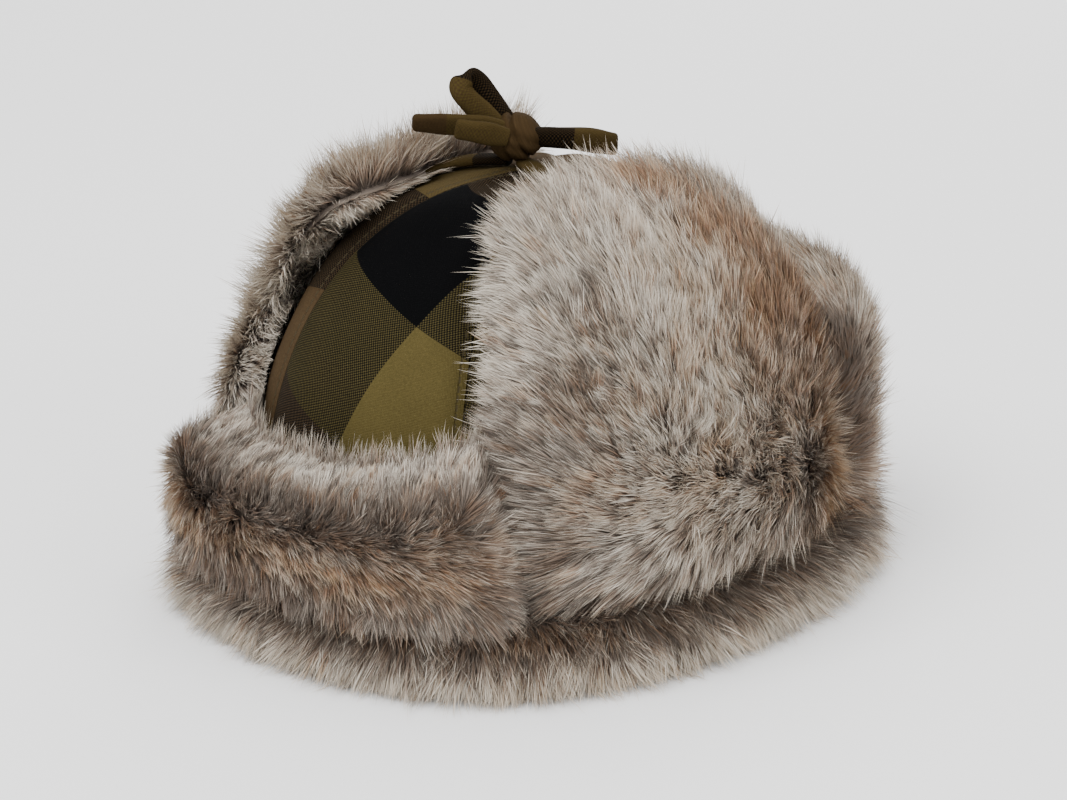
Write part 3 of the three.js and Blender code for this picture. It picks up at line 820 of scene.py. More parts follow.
def hair_ribbons(lines, normal, width, column, rng, first):
    """Flat ribbons along hair lines, turned a little about them, that narrow to a point at the tip."""
    count, stations, _ = lines.shape
    tangent = unit(np.gradient(lines, axis=1))
    turn = rng.normal(0, RIBBON_TURN, count)[:, None, None]
    flat = unit(np.cross(tangent, normal[:, None, :]))
    facing = np.cross(flat, tangent)
    side = flat * np.cos(turn) + facing * np.sin(turn)
    share = np.linspace(0, 1, stations)
    taper = (1 - share**RIBBON_TAPER)[None, :-1, None] * width[:, None, None] / 2
    left = lines[:, :-1] - side[:, :-1] * taper
    right = lines[:, :-1] + side[:, :-1] * taper
    pairs = np.stack([left, right], axis=2).reshape(count, -1, 3)
    points = np.concatenate([pairs, lines[:, -1:]], axis=1)
    per_hair = points.shape[1]
    half = 0.36 / CELL_COUNT
    middle = (column + 0.5) / CELL_COUNT
    u_pairs = np.stack([middle - half, middle + half], axis=1)
    u = np.concatenate([np.tile(u_pairs, (1, stations - 1)), middle[:, None]], axis=1)
    v = np.concatenate([np.repeat(share[:-1], 2), [1.0]])
    places = np.stack([u, np.broadcast_to(0.01 + 0.98 * v, u.shape)], axis=-1)
    base = first + np.arange(count)[:, None, None] * per_hair
    low = 2 * np.arange(stations - 2)[None, :, None]
    quads = (base + low + np.array([0, 1, 3, 2])).reshape(-1, 4)
    tips = (base[:, 0] + np.array([per_hair - 3, per_hair - 2, per_hair - 1])).reshape(-1, 3)
    return points.reshape(-1, 3), places.reshape(-1, 2), quads, tips


def tint_columns(flap, across, along, tuft_warm, tuft_light, warm, light, rng):
    """Each hair's column of the map: warmth and lightness from its place, its tuft and its own chance."""
    count = len(across)
    warm = warm + table(flap.comb, along, "warm")
    light = light + table(flap.comb, along, "light")
    for patch in flap.patches:
        gap = ((across - patch["across"]) ** 2 + (along - patch["along"]) ** 2) / patch["size"] ** 2
        warm = warm + patch["warm"] * np.exp(-gap)
        light = light + patch["light"] * np.exp(-gap)
    where = np.stack([across * 150, along * 150], axis=-1)
    warm = warm + 0.2 * wander(where, 26, 61) + tuft_warm + rng.normal(0, 0.12, count)
    light = light + 0.22 * wander(where, 10, 62) + tuft_light + rng.normal(0, 0.14, count)
    warm_step = np.clip(np.round(warm * (WARM_STEPS - 1)), 0, WARM_STEPS - 1)
    light_step = np.clip(np.round(light * (LIGHT_STEPS - 1)), 0, LIGHT_STEPS - 1)
    return warm_step * LIGHT_STEPS + light_step


def combed_lines(flap, fur, across, along, stations, loose, length):
    """Hair lines from places on a flap, as its comb table, its fans at the edges and small eddies say."""

    def under(a, b):
        return flap.under(a, b, fur.undercoat / MM)

    root, right, rising, normal = frame_on(under, across, along, flap.side)
    where = np.stack([across * flap.span[0], along * flap.span[1]], axis=-1)
    out = table(flap.comb, along, "out") * fur.lift
    eddy = 0.22 * wander(where, 11, flap.seed + 3)
    rise = table(flap.comb, along, "rise") + 0.25 * wander(where, 38, flap.seed + 1) + eddy
    lean = table(flap.comb, along, "lean") * (1 - flap.fans["turn"] * across)
    lean = lean + 0.3 * wander(where, 30, flap.seed + 2) - eddy
    front = np.clip(1 - across / flap.fans["width"], 0, 1) ** 1.3
    back = np.clip(1 - (1 - across) / flap.fans["width"], 0, 1) ** 1.3
    lean = lean - flap.fans["front"] * front + flap.fans["back"] * back
    first = unit(
        normal * (out + loose[:, 0])[:, None]
        + rising * (rise + loose[:, 1])[:, None]
        + right * (lean + loose[:, 2])[:, None]
    )
    last = unit(first - normal * 0.35 * out[:, None] + np.array([0, 0, -0.12]))
    size = length * table(flap.comb, along, "length")
    return hair_line(root, first, last, size, stations), normal


def grow_hair(flap, fur, count, stations, warm, light, first_point, weight=None, size=1.0):
    """Hairs on a flap: each has its own line, whose tip is drawn towards that of its tuft."""
    rng = np.random.default_rng(flap.seed)

    def under(a, b):
        return flap.under(a, b, fur.undercoat / MM)

    across, along = draw_roots(under, count, rng, weight)
    where = np.stack([across * flap.span[0], along * flap.span[1]], axis=-1)
    centre, tuft, tufts = nearest_tuft(where, fur.tuft / MM, rng)
    tuft_loose = rng.normal(0, 0.15, (tufts, 3))
    tuft_warm = rng.normal(0, 0.16, tufts) + 0.4 * (rng.random(tufts) < 0.07)
    tuft_light = rng.normal(0, 0.1, tufts) - 0.65 * (rng.random(tufts) < flap.fans["ticks"])
    tuft_length = 1 + rng.normal(0, 0.1, tufts)
    tuft_pull = np.clip(fur.pull + rng.normal(0, 0.16, tufts), 0.1, 0.9)
    length = size * fur.length / MM * np.clip(1 + rng.normal(0, 0.14, count), 0.5, 1.4)
    loose = tuft_loose[tuft] + rng.normal(0, 0.15, (count, 3))
    lines, normal = combed_lines(flap, fur, across, along, stations, loose, length * tuft_length[tuft])
    middle_across = np.clip(centre[:, 0] / flap.span[0], 0, 1)
    middle_along = np.clip(centre[:, 1] / flap.span[1], 0, 1)
    whole = size * fur.length / MM * tuft_length[tuft]
    leaders, _ = combed_lines(flap, fur, middle_across, middle_along, stations, tuft_loose[tuft], whole)
    draw = (tuft_pull[tuft, None] * stations[None, :] ** 1.7)[..., None]
    lines = keep_clear(lines + (leaders[:, -1:] - lines[:, -1:]) * draw)
    width = fur.width / MM / size * np.clip(1 + rng.normal(0, 0.25, count), 0.5, 1.6)
    column = tint_columns(flap, across, along, tuft_warm[tuft], tuft_light[tuft], warm, light, rng)
    return hair_ribbons(lines, normal, width, column, rng, first_point)


def grow_coat(coat, faces, parts, fur, warm, light):
    """Points, places and faces of an undercoat with its parts' long hairs and short fine ones.

    A part is a flap, the triangles that it may use, and its density over the flap or None."""
    points, places = [coat[0]], [coat[1]]
    tips = []
    for flap, triangles, weight in parts:
        long_count = int(triangles * (1 - fur.fine_share) / 3)
        fine_count = int(triangles * fur.fine_share)
        for count, stations, size in ((long_count, STATIONS, 1.0), (fine_count, STRAIGHT, FINE_SIZE)):
            first = sum(len(each) for each in points)
            hair = grow_hair(flap, fur, count, stations, warm, light, first, weight, size)
            points.append(hair[0])
            places.append(hair[1])
            faces.append(hair[2])
            tips.append(hair[3])
    return np.concatenate(points), np.concatenate(places), [np.concatenate(faces), np.concatenate(tips)]


def dark_places(across, along):
    """Places in the map's first cell, near its foot: the undercoat is the colour of a dark hair's root."""
    return np.stack([(0.5 + 0.3 * (across - 0.5)) / CELL_COUNT, 0.02 + 0.1 * along], axis=-1)


def flap_piece(name, node, slot, flap, fur, count, material, warm, light):
    """One mesh of a flap's closed undercoat and its hairs."""
    columns, rows = 44, 34
    across, along = shares(columns, rows)
    outer = flap.under(across, along, fur.undercoat / MM)
    inner = flap.skin(across, along, np.zeros_like(across))
    turned = flap.side < 0
    coat = np.concatenate([outer, inner])
    first_count = len(outer)
    quads = [
        grid_faces(columns, rows, 0, turned),
        grid_faces(columns, rows, first_count, not turned),
        rim_faces(columns, rows, turned),
    ]
    dark = dark_places(across, along)
    bare = np.stack([(WARM_STEPS + 0.3 * across) / CELL_COUNT, 0.4 + 0.1 * along], axis=-1)
    back = BackEdge(flap)
    edge = int(3 * count * flap.fans["share"])
    parts = ((flap, 3 * count - edge, None), (back, edge, back.dense))
    points, places, faces = grow_coat((coat, np.concatenate([dark, bare])), quads, parts, fur, warm, light)
    return dress(add_mesh(name, points, faces, {"OFBake": places}, material), slot, node)


def visor_end(height):
    """Angle of the visor's ends at a height: they draw in from its foot up."""
    part = np.clip((height - FLAP_FOOT) / (VISOR_END_HEIGHT - FLAP_FOOT), 0, 1)
    return np.radians(VISOR_HALF_ANGLE + (VISOR_TOP_HALF_ANGLE - VISOR_HALF_ANGLE) * part)


def standing_skin(start, end, tops, highest):
    """A sheet that stands straight up on the head oval between two angles, up to a table of heights."""

    def skin(across, along, thickness):
        height = FLAP_FOOT + (highest * table(tops, across, "height") - FLAP_FOOT) * along
        angle = start(height) + (end(height) - start(height)) * across
        return head_oval(angle, SEWN_GAP + thickness, height)

    return skin


def standing_depth(depth):
    """How thick a standing flap is: its depth, rounded at its top, sides and foot."""

    def thickness(across, along):
        edges = pillow(1 - along, 0.35, 0.45) * pillow(from_sides(across), 0.1, 0.8)
        return depth * edges * pillow(along, 0.12, 0.85)

    return thickness


def ear_skin(outline, reach, front_fall, back_fall, side):
    """A sheet that stands on the roll, follows the crown's side and leans over the dome.

    Side -1 mirrors it."""
    foot_share = (FLAP_FOOT - CROWN_FOOT) / (CROWN_TOP - CROWN_FOOT)
    foot_rise = (2 / math.pi) * math.asin(foot_share ** (CROWN_FULLNESS / 2))

    def sheet(across, along):
        sideways = 2 * across - 1
        fall = np.where(sideways > 0, back_fall, front_fall)
        rise = foot_rise + (reach * (1 - fall * sideways**2) - foot_rise) * along
        edge = np.where(sideways > 0, table(outline, along, "back"), table(outline, along, "front"))
        y = sideways * HALF_LENGTH * edge
        share = np.abs(y / (HALF_LENGTH + SEWN_GAP)) ** PLAN_FULLNESS
        drop = HALF_WIDTH * (1 - (1 - share) ** (1 / PLAN_FULLNESS)) * table(outline, along, "curve")
        point = dome(np.full_like(rise, math.pi / 2), rise, 1.6 * SEWN_GAP)
        return np.stack([point[..., 0] - drop, y, point[..., 2]], axis=-1)

    def skin(across, along, thickness):
        point, _, _, normal = frame_on(sheet, across, along, 1)
        point = point + normal * np.asarray(thickness)[..., None]
        point[..., 2] = np.maximum(point[..., 2], FLAP_FOOT)
        return point * np.array([side, 1, 1])

    return skin


def ear_depth(outline):
    """How thick an ear flap is: its table's depth, rounded at its sides, top and foot."""

    def thickness(across, along):
        edge = pillow(from_sides(across), 0.12, 0.5) * pillow(1 - along, 0.15, 0.6)
        edge = edge * pillow(along, 0.08, 0.85)
        return EAR_DEPTH * table(outline, along, "depth") * edge

    return thickness


# Roll

# Corners of the roll's undercoat: distance outside the crown and height, in millimetres, round the ring.
ROLL_SECTION = named(
    "spread height",
    (2.0, 24.0),
    (12.0, 24.0),
    (17.5, 20.0),
    (20.0, 13.0),
    (19.0, 6.0),
    (14.0, 1.5),
    (3.0, 1.0),
    (-6.0, 2.0),
    (-7.5, 7.0),
    (-7.5, 24.0),
    (-6.0, 28.5),
    (-3.9, 27.0),
    (-3.8, 13.3),
    (1.4, 13.3),
)

# How hair lies round the outside of the roll, from its top to its foot, how dense it is, and what its place
# adds to how warm and how light it is. Its darker top, under the flaps, is partly darker hair and partly
# painted shade.
ROLL_COMB = named(
    "at out rise lean length dense warm light",
    (0.0, 0.2, 0.9, 0.0, 1.3, 1.4, 0.05, -0.3),
    (0.3, 0.28, 0.8, 0.0, 1.4, 1.4, 0.05, -0.24),
    (0.42, 0.32, 0.8, 0.0, 1.5, 1.3, 0.0, 0.3),
    (0.54, 0.38, 0.75, 0.0, 1.4, 1.3, 0.0, 0.72),
    (0.78, 0.5, 0.6, 0.0, 1.2, 1.1, -0.05, 0.72),
    (1.0, 0.7, 0.2, 0.0, 0.9, 0.7, -0.05, 0.72),
)
LINING_COMB = named(
    "at out rise lean length warm light",
    (0.0, 0.5, -0.6, 0.2, 0.36, 0.0, 0.0),
    (0.5, 0.45, 0.4, 0.4, 0.46, 0.0, 0.0),
    (1.0, 0.4, 0.9, 0.2, 0.48, 0.0, 0.0),
)
ROLL_OUTSIDE = (0.3, 5.6)
ROLL_LINING = (7.0, 10.4)


def smooth_section(position):
    """Spread and height at a position counted in the section's corners, each rounded by the mean of three."""
    corners = np.array([[row["spread"], row["height"]] for row in ROLL_SECTION])
    count = len(corners)
    total = np.zeros((*np.shape(position), 2))
    for shift in (-0.3, 0.0, 0.3):
        moved = np.asarray(position) + shift
        whole = np.floor(moved).astype(int)
        t = (moved - whole)[..., None]
        total = total + corners[whole % count] * (1 - t) + corners[(whole + 1) % count] * t
    return total / 3


def roll_skin(low, high):
    """The roll's surface between two positions of its section, all the way round the head oval."""

    def skin(across, along):
        section = smooth_section(low + (high - low) * along)
        return head_oval(2 * math.pi * across, section[..., 0], section[..., 1])

    return skin


class RollPart(Flap):
    """A stretch of the roll's section as a flap without edges."""

    def under(self, across, along, sunk):
        return self.skin(np.mod(across, 1.0), along)


def roll_density(across, along):
    """How dense the roll's hair is, the same all the way round."""
    return table(ROLL_COMB, along, "dense") + 0 * across


def roll_piece(fur, material):
    """One mesh of the roll's closed undercoat, its outer hairs and its short lining hairs."""
    stations_round, stations_section = 100, 42
    across = np.repeat(np.arange(stations_round) / stations_round, stations_section)
    position = np.tile(np.arange(stations_section) * len(ROLL_SECTION) / stations_section, stations_round)
    section = smooth_section(position)
    coat = head_oval(2 * math.pi * across, section[..., 0], section[..., 1])
    i, j = np.meshgrid(np.arange(stations_round), np.arange(stations_section), indexing="ij")
    next_i, next_j = (i + 1) % stations_round, (j + 1) % stations_section
    quads = np.stack(
        [
            i * stations_section + j,
            i * stations_section + next_j,
            next_i * stations_section + next_j,
            next_i * stations_section + j,
        ],
        axis=-1,
    ).reshape(-1, 4)
    dark = dark_places(across, position / len(ROLL_SECTION))
    outside = RollPart(
        roll_skin(*ROLL_OUTSIDE), None, ROLL_COMB, ROLL_PATCHES, (720, 46), ROLL_FANS, side=-1, seed=41
    )
    lining = RollPart(roll_skin(*ROLL_LINING), None, LINING_COMB, (), (560, 24), ROLL_FANS, side=-1, seed=47)
    lining_part = fur.roll_count // 3
    parts = ((outside, 3 * fur.roll_count - lining_part, roll_density), (lining, lining_part, None))
    points, places, faces = grow_coat((coat, dark), [quads], parts, fur, 0.2, 0.42)
    return dress(add_mesh("roll_fur", points, faces, {"OFBake": places}, material), "dusky_fur", "fur_roll")


# Crown

# How each panel was cut from the check: turn in degrees, and where a square begins, in millimetres.
PANEL_CUTS = {
    "front": {"turn": -22.0, "warp": -23.0, "weft": 53.3},
    "front_left": {"turn": 24.0, "warp": -10.0, "weft": 30.0},
    "back_left": {"turn": -20.0, "warp": 14.0, "weft": 8.0},
    "back": {"turn": 22.0, "warp": -20.0, "weft": 44.0},
    "back_right": {"turn": -24.0, "warp": 5.0, "weft": 21.0},
    "front_right": {"turn": 202.0, "warp": -148.0, "weft": -34.0},
}


def smooth_step(value, low, high):
    """0 below `low`, 1 above `high`, and 3t^2 - 2t^3 between them, t being the share of the way."""
    share = np.clip((value - low) / (high - low), 0, 1)
    return share * share * (3 - 2 * share)


def panel_face(middle, spread, dent):
    """One face of a panel: the dome between two seams, drawn in at them, with soft dents."""

    def face(across, along):
        last_rise = (2 / math.pi) * math.acos((APEX_RADIUS / HALF_WIDTH) ** (CROWN_FULLNESS / 2))
        rise = along * last_rise
        share = bent(np.cos(rise * math.pi / 2), CROWN_FULLNESS)
        clear = SEAM_GAP / 2 / (HALF_WIDTH * share) / math.cos(PANEL_ANGLE / 4)
        side = 2 * across - 1
        angle = middle + side * (PANEL_ANGLE / 2 - clear)
        height = dome(angle, rise, 0)[..., 2]
        above = smooth_step(height, LINING_HEIGHT, 2 * LINING_HEIGHT)
        pinch = SEAM_PINCH * side**6 * np.minimum(1, 2 * share) * above
        where = np.stack([angle * 90, rise * 180], axis=-1)
        wave = dent * wander(where, 46, 5) * above * (1 - side**4)
        return dome(angle, rise, spread - pinch + wave)

    return face


def panel_piece(where, middle, crown, material):
    """A closed panel with its cloth's own map and each point's distance from the seams."""
    columns, rows = 30, 60
    across, along = shares(columns, rows)
    outer = panel_face(middle, 0, crown.dent / MM)(across, along)
    inner = panel_face(middle, -CLOTH_WALL, 0)(across, along)
    grid = outer.reshape(columns + 1, rows + 1, 3)
    steps = np.linalg.norm(np.diff(grid, axis=0), axis=-1)
    run = np.concatenate([np.zeros((1, rows + 1)), np.cumsum(steps, axis=0)])
    centre = columns // 2
    sideways = run - run[centre]
    climb = np.concatenate([[0], np.cumsum(np.linalg.norm(np.diff(grid[centre], axis=0), axis=-1))])
    climb = np.broadcast_to(climb, sideways.shape)
    cut = PANEL_CUTS[where]
    turn = math.radians(cut["turn"])
    cell = crown.cell / MM
    warp = (sideways * math.cos(turn) + climb * math.sin(turn) - cut["warp"]) / cell
    weft = (-sideways * math.sin(turn) + climb * math.cos(turn) - cut["weft"]) / cell
    cloth = np.stack([warp.ravel(), weft.ravel()], axis=-1)
    to_seam = np.minimum(run, run[-1] - run).ravel()
    seam = np.stack([to_seam, climb.ravel(), np.zeros(len(outer))], axis=-1)
    faces = [
        np.concatenate(
            [
                grid_faces(columns, rows),
                grid_faces(columns, rows, len(outer), True),
                rim_faces(columns, rows),
            ]
        )
    ]
    points = np.concatenate([outer, inner])
    piece = add_mesh(f"cloth_{where}", points, faces, {"cloth": np.concatenate([cloth, cloth])}, material)
    piece.data.set_sharp_from_angle(angle=math.radians(50))
    layer = piece.data.attributes.new("seam", "FLOAT_VECTOR", "POINT")
    layer.data.foreach_set("vector", np.concatenate([seam, seam]).astype(np.float32).ravel())
    return dress(piece, "checked_cloth", f"crown_panel_{where}")


# Bow

# Rows of a strap are shares of the bow's reach from the knot: right, front and up, as seen from before it.
STRAPS = {
    "bow_loop_left": {
        "rows": (
            (-0.028, -0.083, 0.056),
            (-0.222, -0.139, 0.306),
            (-0.375, -0.139, 0.5),
            (-0.486, -0.072, 0.572),
            (-0.53, -0.011, 0.486),
            (-0.41, 0, 0.319),
            (-0.08, 0.028, 0.056),
        ),
        "start": (0.8, 0, 0.5),
        "end": (0.8, 0, 0.5),
        "check": -0.55,
        "closed": True,
    },
    "bow_loop_right": {
        "rows": (
            (0.083, 0.056, 0.028),
            (0.389, 0.125, 0.028),
            (0.667, 0.125, 0),
            (0.861, 0.069, -0.042),
            (0.944, -0.028, -0.083),
            (0.833, -0.125, -0.083),
            (0.556, -0.125, -0.056),
            (0.167, -0.069, -0.028),
        ),
        "start": (0, 0.3, 1),
        "end": (0, 0.1, 1),
        "check": -0.35,
        "closed": True,
    },
    "bow_end_long": {
        "rows": (
            (-0.056, 0.1, 0.083),
            (-0.333, 0.156, 0.153),
            (-0.667, 0.156, 0.167),
            (-1, 0.144, 0.183),
        ),
        "start": (0, 0, 1),
        "end": (0, 0.6, 0.8),
        "check": 0.55,
        "closed": False,
    },
    "bow_end_short": {
        "rows": (
            (-0.083, 0.222, 0.056),
            (-0.306, 0.3, 0.122),
            (-0.583, 0.3, 0.167),
        ),
        "start": (0, 0, 1),
        "end": (0, 0.36, 0.93),
        "check": 0.15,
        "closed": False,
    },
}
TIES = {
    "tie_left": {"aside": 0.21, "x": 0.355, "y": -0.135, "check": 0.7},
    "tie_right": {"aside": -0.16, "x": -0.52, "y": -0.145, "check": -0.25},
}
TIE_WIDTH = 8.5
TIE_THICKNESS = 3.4


def bow_vector(rows):
    """Turns rows of right, front and up into the hat's axes."""
    turn = math.radians(BOW_TURN)
    right = np.array([math.cos(turn), math.sin(turn), 0])
    front = np.array([math.sin(turn), -math.cos(turn), 0])
    rows = np.asarray(rows, dtype=float)
    return rows[..., 0:1] * right + rows[..., 1:2] * front + rows[..., 2:3] * np.array([0, 0, 1])


def through(points, share):
    """A centripetal Catmull-Rom curve through points, each stretch taking the same part of the share."""
    points = np.asarray(points, dtype=float)
    before = 2 * points[0] - points[1]
    after = 2 * points[-1] - points[-2]
    knots = np.concatenate([[before], points, [after]])
    place = share * (len(points) - 1)
    whole = np.minimum(np.floor(place).astype(int), len(points) - 2)
    t = (place - whole)[:, None]
    a, b, c, d = (knots[whole + k] for k in range(4))
    gaps = [np.linalg.norm(q - p, axis=-1, keepdims=True) ** 0.5 for p, q in ((a, b), (b, c), (c, d))]
    first = ((b - a) / gaps[0] - (c - a) / (gaps[0] + gaps[1]) + (c - b) / gaps[1]) * gaps[1]
    second = ((c - b) / gaps[1] - (d - b) / (gaps[1] + gaps[2]) + (d - c) / gaps[2]) * gaps[1]
    square = -3 * b + 3 * c - 2 * first - second
    cube = 2 * b - 2 * c + first + second
    return b + t * first + t**2 * square + t**3 * cube


def strap_piece(node, points, start, end, check, free_end, crown, material):
    """A flat cloth strap along a curve: a rounded section, narrower where the knot grips it."""
    steps, around = 72, 20
    share = np.linspace(0, 1, steps + 1)
    line = through(points, share)
    tangent = unit(np.gradient(line, axis=0))
    across = start[None, :] * (1 - share[:, None]) + end[None, :] * share[:, None]
    across = unit(across - tangent * np.sum(across * tangent, axis=-1, keepdims=True))
    face = np.cross(tangent, across)
    run = np.concatenate([[0], np.cumsum(np.linalg.norm(np.diff(line, axis=0), axis=-1))])
    from_knot = np.linalg.norm(line - KNOT, axis=-1)
    grip = smooth_step(from_knot, 0.3 * KNOT_WIDTH, 0.95 * KNOT_WIDTH)
    wide = TIE_WIDTH * (0.72 + 0.28 * grip)
    thick = TIE_THICKNESS * (1.15 - 0.15 * grip)
    if free_end:
        close = np.sqrt(np.clip(1 - (1 - np.clip((run[-1] - run) / 1.6, 0, 1)) ** 2, 0.02, 1))
        wide = wide * (0.55 + 0.45 * close)
        thick = thick * (0.2 + 0.8 * close)
    turn = np.linspace(0, 2 * math.pi, around + 1)
    wave = 1 + 0.07 * np.sin(run / 3.1)[:, None] * np.cos(2 * turn)[None, :]
    width_part = bent(np.cos(turn), 3.0) / 2
    thick_part = bent(np.sin(turn), 2.6) / 2
    ring = (
        line[:, None, :]
        + across[:, None, :] * (wide[:, None] * width_part[None, :] * wave)[..., None]
        + face[:, None, :] * (thick[:, None] * thick_part[None, :] * wave)[..., None]
    )
    rings = ring.reshape(-1, 3)
    caps = np.stack([line[0], line[-1]])
    cell = crown.cell / MM
    girth = 2 * (TIE_WIDTH + TIE_THICKNESS) * turn / (2 * math.pi)
    warp = np.broadcast_to((check + run / cell)[:, None], ring.shape[:2])
    weft = np.broadcast_to((-0.8 + girth / cell)[None, :], ring.shape[:2])
    cloth = np.stack([warp.ravel(), weft.ravel()], axis=-1)
    cloth = np.concatenate([cloth, cloth[[0, -1]]])
    j = np.arange(around)
    head = len(rings)
    foot = steps * (around + 1)
    ends = [
        np.stack([np.full(around, head), j + 1, j], axis=-1),
        np.stack([np.full(around, head + 1), foot + j, foot + j + 1], axis=-1),
    ]
    faces = [grid_faces(steps, around, turned=True), np.concatenate(ends)]
    piece = add_mesh(f"{node}_cloth", np.concatenate([rings, caps]), faces, {"cloth": cloth}, material)
    return dress(piece, "tie_cloth", node)


def knot_piece(material):
    """The knot: a ball with two slanting creases between its wraps, fuller in the middle one."""
    columns, rows = 72, 44
    across, along = shares(columns, rows)
    turn = 2 * math.pi * across
    tilt = math.pi * (along - 0.5)
    ball = np.stack([np.cos(tilt) * np.cos(turn), np.cos(tilt) * np.sin(turn), np.sin(tilt)], axis=-1)
    slant = bow_vector((0.78, 0.1, 0.36))
    slant = slant / np.linalg.norm(slant)
    place = ball @ slant
    crease = 0.2 * np.exp(-(((place - 0.22) / 0.07) ** 2)) + 0.14 * np.exp(-(((place + 0.45) / 0.08) ** 2))
    folds = 0.025 * np.sin(9 * (ball @ bow_vector((0.2, 0.1, 1.0))) + 5 * place)
    size = np.array([KNOT_WIDTH / 2, KNOT_WIDTH / 2, KNOT_HEIGHT / 2])
    points = KNOT + ball * size * (1 - crease + folds)[:, None]
    cloth = np.stack([1.2 + place * 0.2, -0.8 + 0.25 * across], axis=-1)
    piece = add_mesh("bow_knot_cloth", points, [grid_faces(columns, rows)], {"cloth": cloth}, material)
    return dress(piece, "tie_cloth", "bow_knot")


# Operators


class FURHAT_OT_crown(bpy.types.Operator):
    """Makes the six panels of checked cloth"""

    bl_idname = "fur_hat.crown"
    bl_label = "Make the crown"

    def execute(self, context):
        crown = context.scene.fur_hat.crown
        material = cloth_material("checked_wool", crown, (1.0, 1.0, 1.0), True)
        for number, where in enumerate(PANEL_CUTS):
            panel_piece(where, number * PANEL_ANGLE, crown, material)
        return {"FINISHED"}


class FURHAT_OT_roll(bpy.types.Operator):
    """Makes the fur roll round the hat's foot"""

    bl_idname = "fur_hat.roll"
    bl_label = "Make the fur roll"

    def execute(self, context):
        fur = context.scene.fur_hat.fur
        roll_piece(fur, fur_material("roll_long_fur", fur, 0.7))
        return {"FINISHED"}


class FURHAT_OT_standing_flaps(bpy.types.Operator):
    """Makes the visor and the neck flap"""

    bl_idname = "fur_hat.standing_flaps"
    bl_label = "Make the visor and neck flap"

    def execute(self, context):
        fur = context.scene.fur_hat.fur
        material = fur_material("visor_long_fur", fur)
        gap = SEWN_GAP / HALF_WIDTH
        neck_end = math.pi - math.radians(NECK_HALF_ANGLE)
        visor_skin = standing_skin(
            lambda height: gap - visor_end(height),
            lambda height: visor_end(height) - gap,
            VISOR_TOPS,
            VISOR_HEIGHT,
        )
        neck_skin = standing_skin(
            lambda height: neck_end + gap + 0 * height,
            lambda height: 2 * math.pi - neck_end - gap + 0 * height,
            NECK_TOPS,
            NECK_TOP,
        )
        visor = Flap(
            visor_skin,
            standing_depth(VISOR_DEPTH),
            VISOR_COMB,
            VISOR_PATCHES,
            span=(190, 55),
            fans=VISOR_FANS,
            seed=11,
        )
        neck = Flap(
            neck_skin,
            standing_depth(NECK_DEPTH),
            NECK_COMB,
            NECK_PATCHES,
            span=(260, 80),
            fans=NECK_FANS,
            seed=17,
        )
        for name, node, flap, count, light in (
            ("visor_fur", "visor", visor, fur.visor_count, 0.34),
            ("neck_fur", "neck_flap", neck, fur.neck_count, 0.5),
        ):
            flap_piece(name, node, "dusky_fur", flap, fur, count, material, warm=0.2, light=light)
        return {"FINISHED"}


class FURHAT_OT_ear_flaps(bpy.types.Operator):
    """Makes the two ear flaps that reach over the crown"""

    bl_idname = "fur_hat.ear_flaps"
    bl_label = "Make the ear flaps"

    def execute(self, context):
        fur = context.scene.fur_hat.fur
        material = fur_material("pale_long_fur", fur)
        left = Flap(
            ear_skin(LEFT_EAR, reach=0.85, front_fall=0.1, back_fall=0.16, side=1),
            ear_depth(LEFT_EAR),
            LEFT_COMB,
            LEFT_PATCHES,
            span=(150, 150),
            fans=LEFT_FANS,
            seed=23,
        )
        right = Flap(
            ear_skin(RIGHT_EAR, reach=0.78, front_fall=0.03, back_fall=0.12, side=-1),
            ear_depth(RIGHT_EAR),
            RIGHT_COMB,
            RIGHT_PATCHES,
            span=(140, 140),
            fans=RIGHT_FANS,
            side=-1,
            seed=29,
        )
        for name, node, flap, count, light in (
            ("left_ear_fur", "ear_flap_left", left, fur.near_count, 0.62),
            # The right flap's hair starts lighter than the left's, though both are one fur: painted light
            # against the shade it sits in.
            ("right_ear_fur", "ear_flap_right", right, fur.far_count, 0.82),
        ):
            flap_piece(name, node, "pale_fur", flap, fur, count, material, warm=0.12, light=light)
        return {"FINISHED"}


class FURHAT_OT_bow(bpy.types.Operator):
    """Makes the ties, the knot, the loops and the ends of the bow"""

    bl_idname = "fur_hat.bow"
    bl_label = "Make the bow"

    def execute(self, context):
        crown = context.scene.fur_hat.crown
        material = cloth_material("tie_wool", crown, (0.66, 0.62, 0.52), False)
        for node, strap in STRAPS.items():
            points = KNOT + bow_vector(strap["rows"]) * BOW_REACH
            start, end = bow_vector(strap["start"]), bow_vector(strap["end"])
            strap_piece(node, points, start, end, strap["check"], not strap["closed"], crown, material)
        lift = TIE_THICKNESS / 2 + 1.5 * SEWN_GAP
        for node, tie in TIES.items():
            start = np.array([KNOT[0] + tie["aside"] * KNOT_WIDTH, KNOT[1]])
            end = np.array([tie["x"] * HALF_WIDTH, tie["y"] * HALF_LENGTH])
            plan = start + (end - start) * np.linspace(0, 1, 5)[:, None]
            points = np.column_stack([plan, crown_height(plan[:, 0], plan[:, 1]) + lift])
            across = np.array([start[1] - end[1], end[0] - start[0], 0])
            strap_piece(node, points, across, across, tie["check"], False, crown, material)
        knot_piece(material)
        return {"FINISHED"}


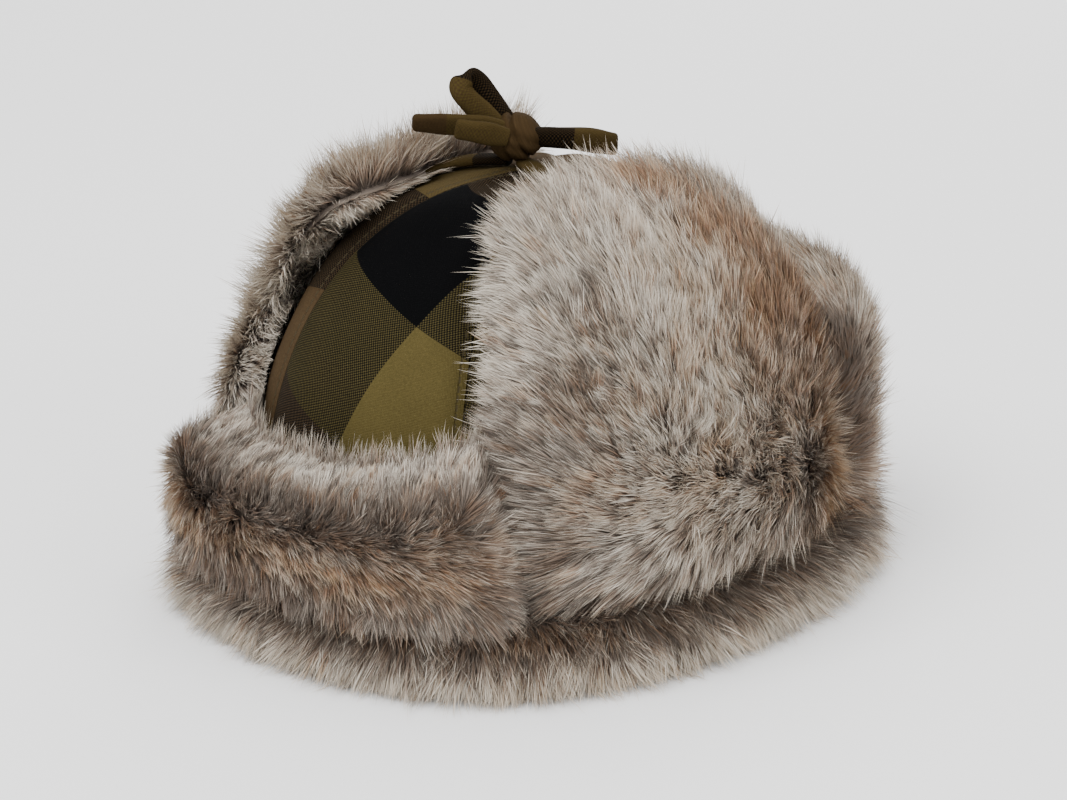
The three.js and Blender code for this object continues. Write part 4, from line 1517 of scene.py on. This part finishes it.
class FURHAT_OT_studio(bpy.types.Operator):
    """Makes the pale floor, the soft lights and the camera"""

    bl_idname = "fur_hat.studio"
    bl_label = "Make the studio"

    def execute(self, context):
        studio = context.scene.fur_hat.studio
        size = 4000.0
        corners = np.array([[-size, -size, 0], [size, -size, 0], [size, size, 0], [-size, size, 0]])
        faces = [np.array([[0, 1, 2, 3]])]
        floor = add_mesh("studio_floor", corners, faces, {}, floor_material(studio), smooth=False)
        azimuth, elevation = studio.azimuth, studio.elevation
        right = Vector((math.cos(azimuth), math.sin(azimuth), 0))
        aim = Vector(AXIS.tolist()) + right * 0.0005 + Vector((0, 0, studio.aim))
        away = Vector(
            (
                math.sin(azimuth) * math.cos(elevation),
                -math.cos(azimuth) * math.cos(elevation),
                math.sin(elevation),
            )
        )
        lens = bpy.data.cameras.new("camera")
        lens.lens = studio.lens
        lens.sensor_width = 36.0
        lens.sensor_fit = "HORIZONTAL"
        camera = bpy.data.objects.new("camera", lens)
        camera.location = aim + away * studio.distance
        camera.rotation_euler = (-away).to_track_quat("-Z", "Y").to_euler()
        context.scene.collection.objects.link(camera)
        context.scene.camera = camera
        over = Vector((0, 0, 1))
        lights = (
            ("key_light", away * 0.6 + over * 1.1 - right * 0.5, 1.2, studio.key),
            ("fill_light", away * 0.9 + over * 0.25 + right * 1.0, 1.0, studio.fill),
            ("back_light", over * 0.9 - away * 1.0 + right * 0.3, 0.9, studio.fill),
        )
        for name, direction, width, power in lights:
            light = bpy.data.lights.new(name, "AREA")
            light.shape = "SQUARE"
            light.size = width
            light.energy = power
            lamp = bpy.data.objects.new(name, light)
            lamp.location = aim + direction.normalized() * 1.6
            lamp.rotation_euler = (-direction).to_track_quat("-Z", "Y").to_euler()
            context.scene.collection.objects.link(lamp)
        world = bpy.data.worlds.new("studio")
        world.use_nodes = True
        backdrop = world.node_tree.nodes["Background"]
        backdrop.inputs["Color"].default_value = (1.0, 1.0, 1.0, 1.0)
        backdrop.inputs["Strength"].default_value = studio.sky
        context.scene.world = world
        return {"FINISHED"}


class FURHAT_PT_panel(bpy.types.Panel):
    """Lists the hat's settings and operators"""

    bl_label = "Fur hat"
    bl_idname = "FURHAT_PT_panel"
    bl_space_type = "VIEW_3D"
    bl_region_type = "UI"
    bl_category = "Fur hat"

    def draw(self, context):
        settings = context.scene.fur_hat
        for group in (settings.crown, settings.fur, settings.studio):
            box = self.layout.box()
            for name in group.__annotations__:
                box.prop(group, name)
        for maker in OPERATORS:
            self.layout.operator(maker.bl_idname)


OPERATORS = (
    FURHAT_OT_crown,
    FURHAT_OT_roll,
    FURHAT_OT_standing_flaps,
    FURHAT_OT_ear_flaps,
    FURHAT_OT_bow,
    FURHAT_OT_studio,
)
CLASSES = (CrownSettings, FurSettings, StudioSettings, HatSettings, *OPERATORS, FURHAT_PT_panel)


def register():
    for each in CLASSES:
        bpy.utils.register_class(each)
    bpy.types.Scene.fur_hat = PointerProperty(type=HatSettings)


def unregister():
    del bpy.types.Scene.fur_hat
    for each in reversed(CLASSES):
        bpy.utils.unregister_class(each)


def main():
    register()
    bpy.ops.fur_hat.crown()
    bpy.ops.fur_hat.roll()
    bpy.ops.fur_hat.standing_flaps()
    bpy.ops.fur_hat.ear_flaps()
    bpy.ops.fur_hat.bow()
    bpy.ops.fur_hat.studio()
    bpy.context.view_layer.update()


if __name__ == "__main__":
    main()
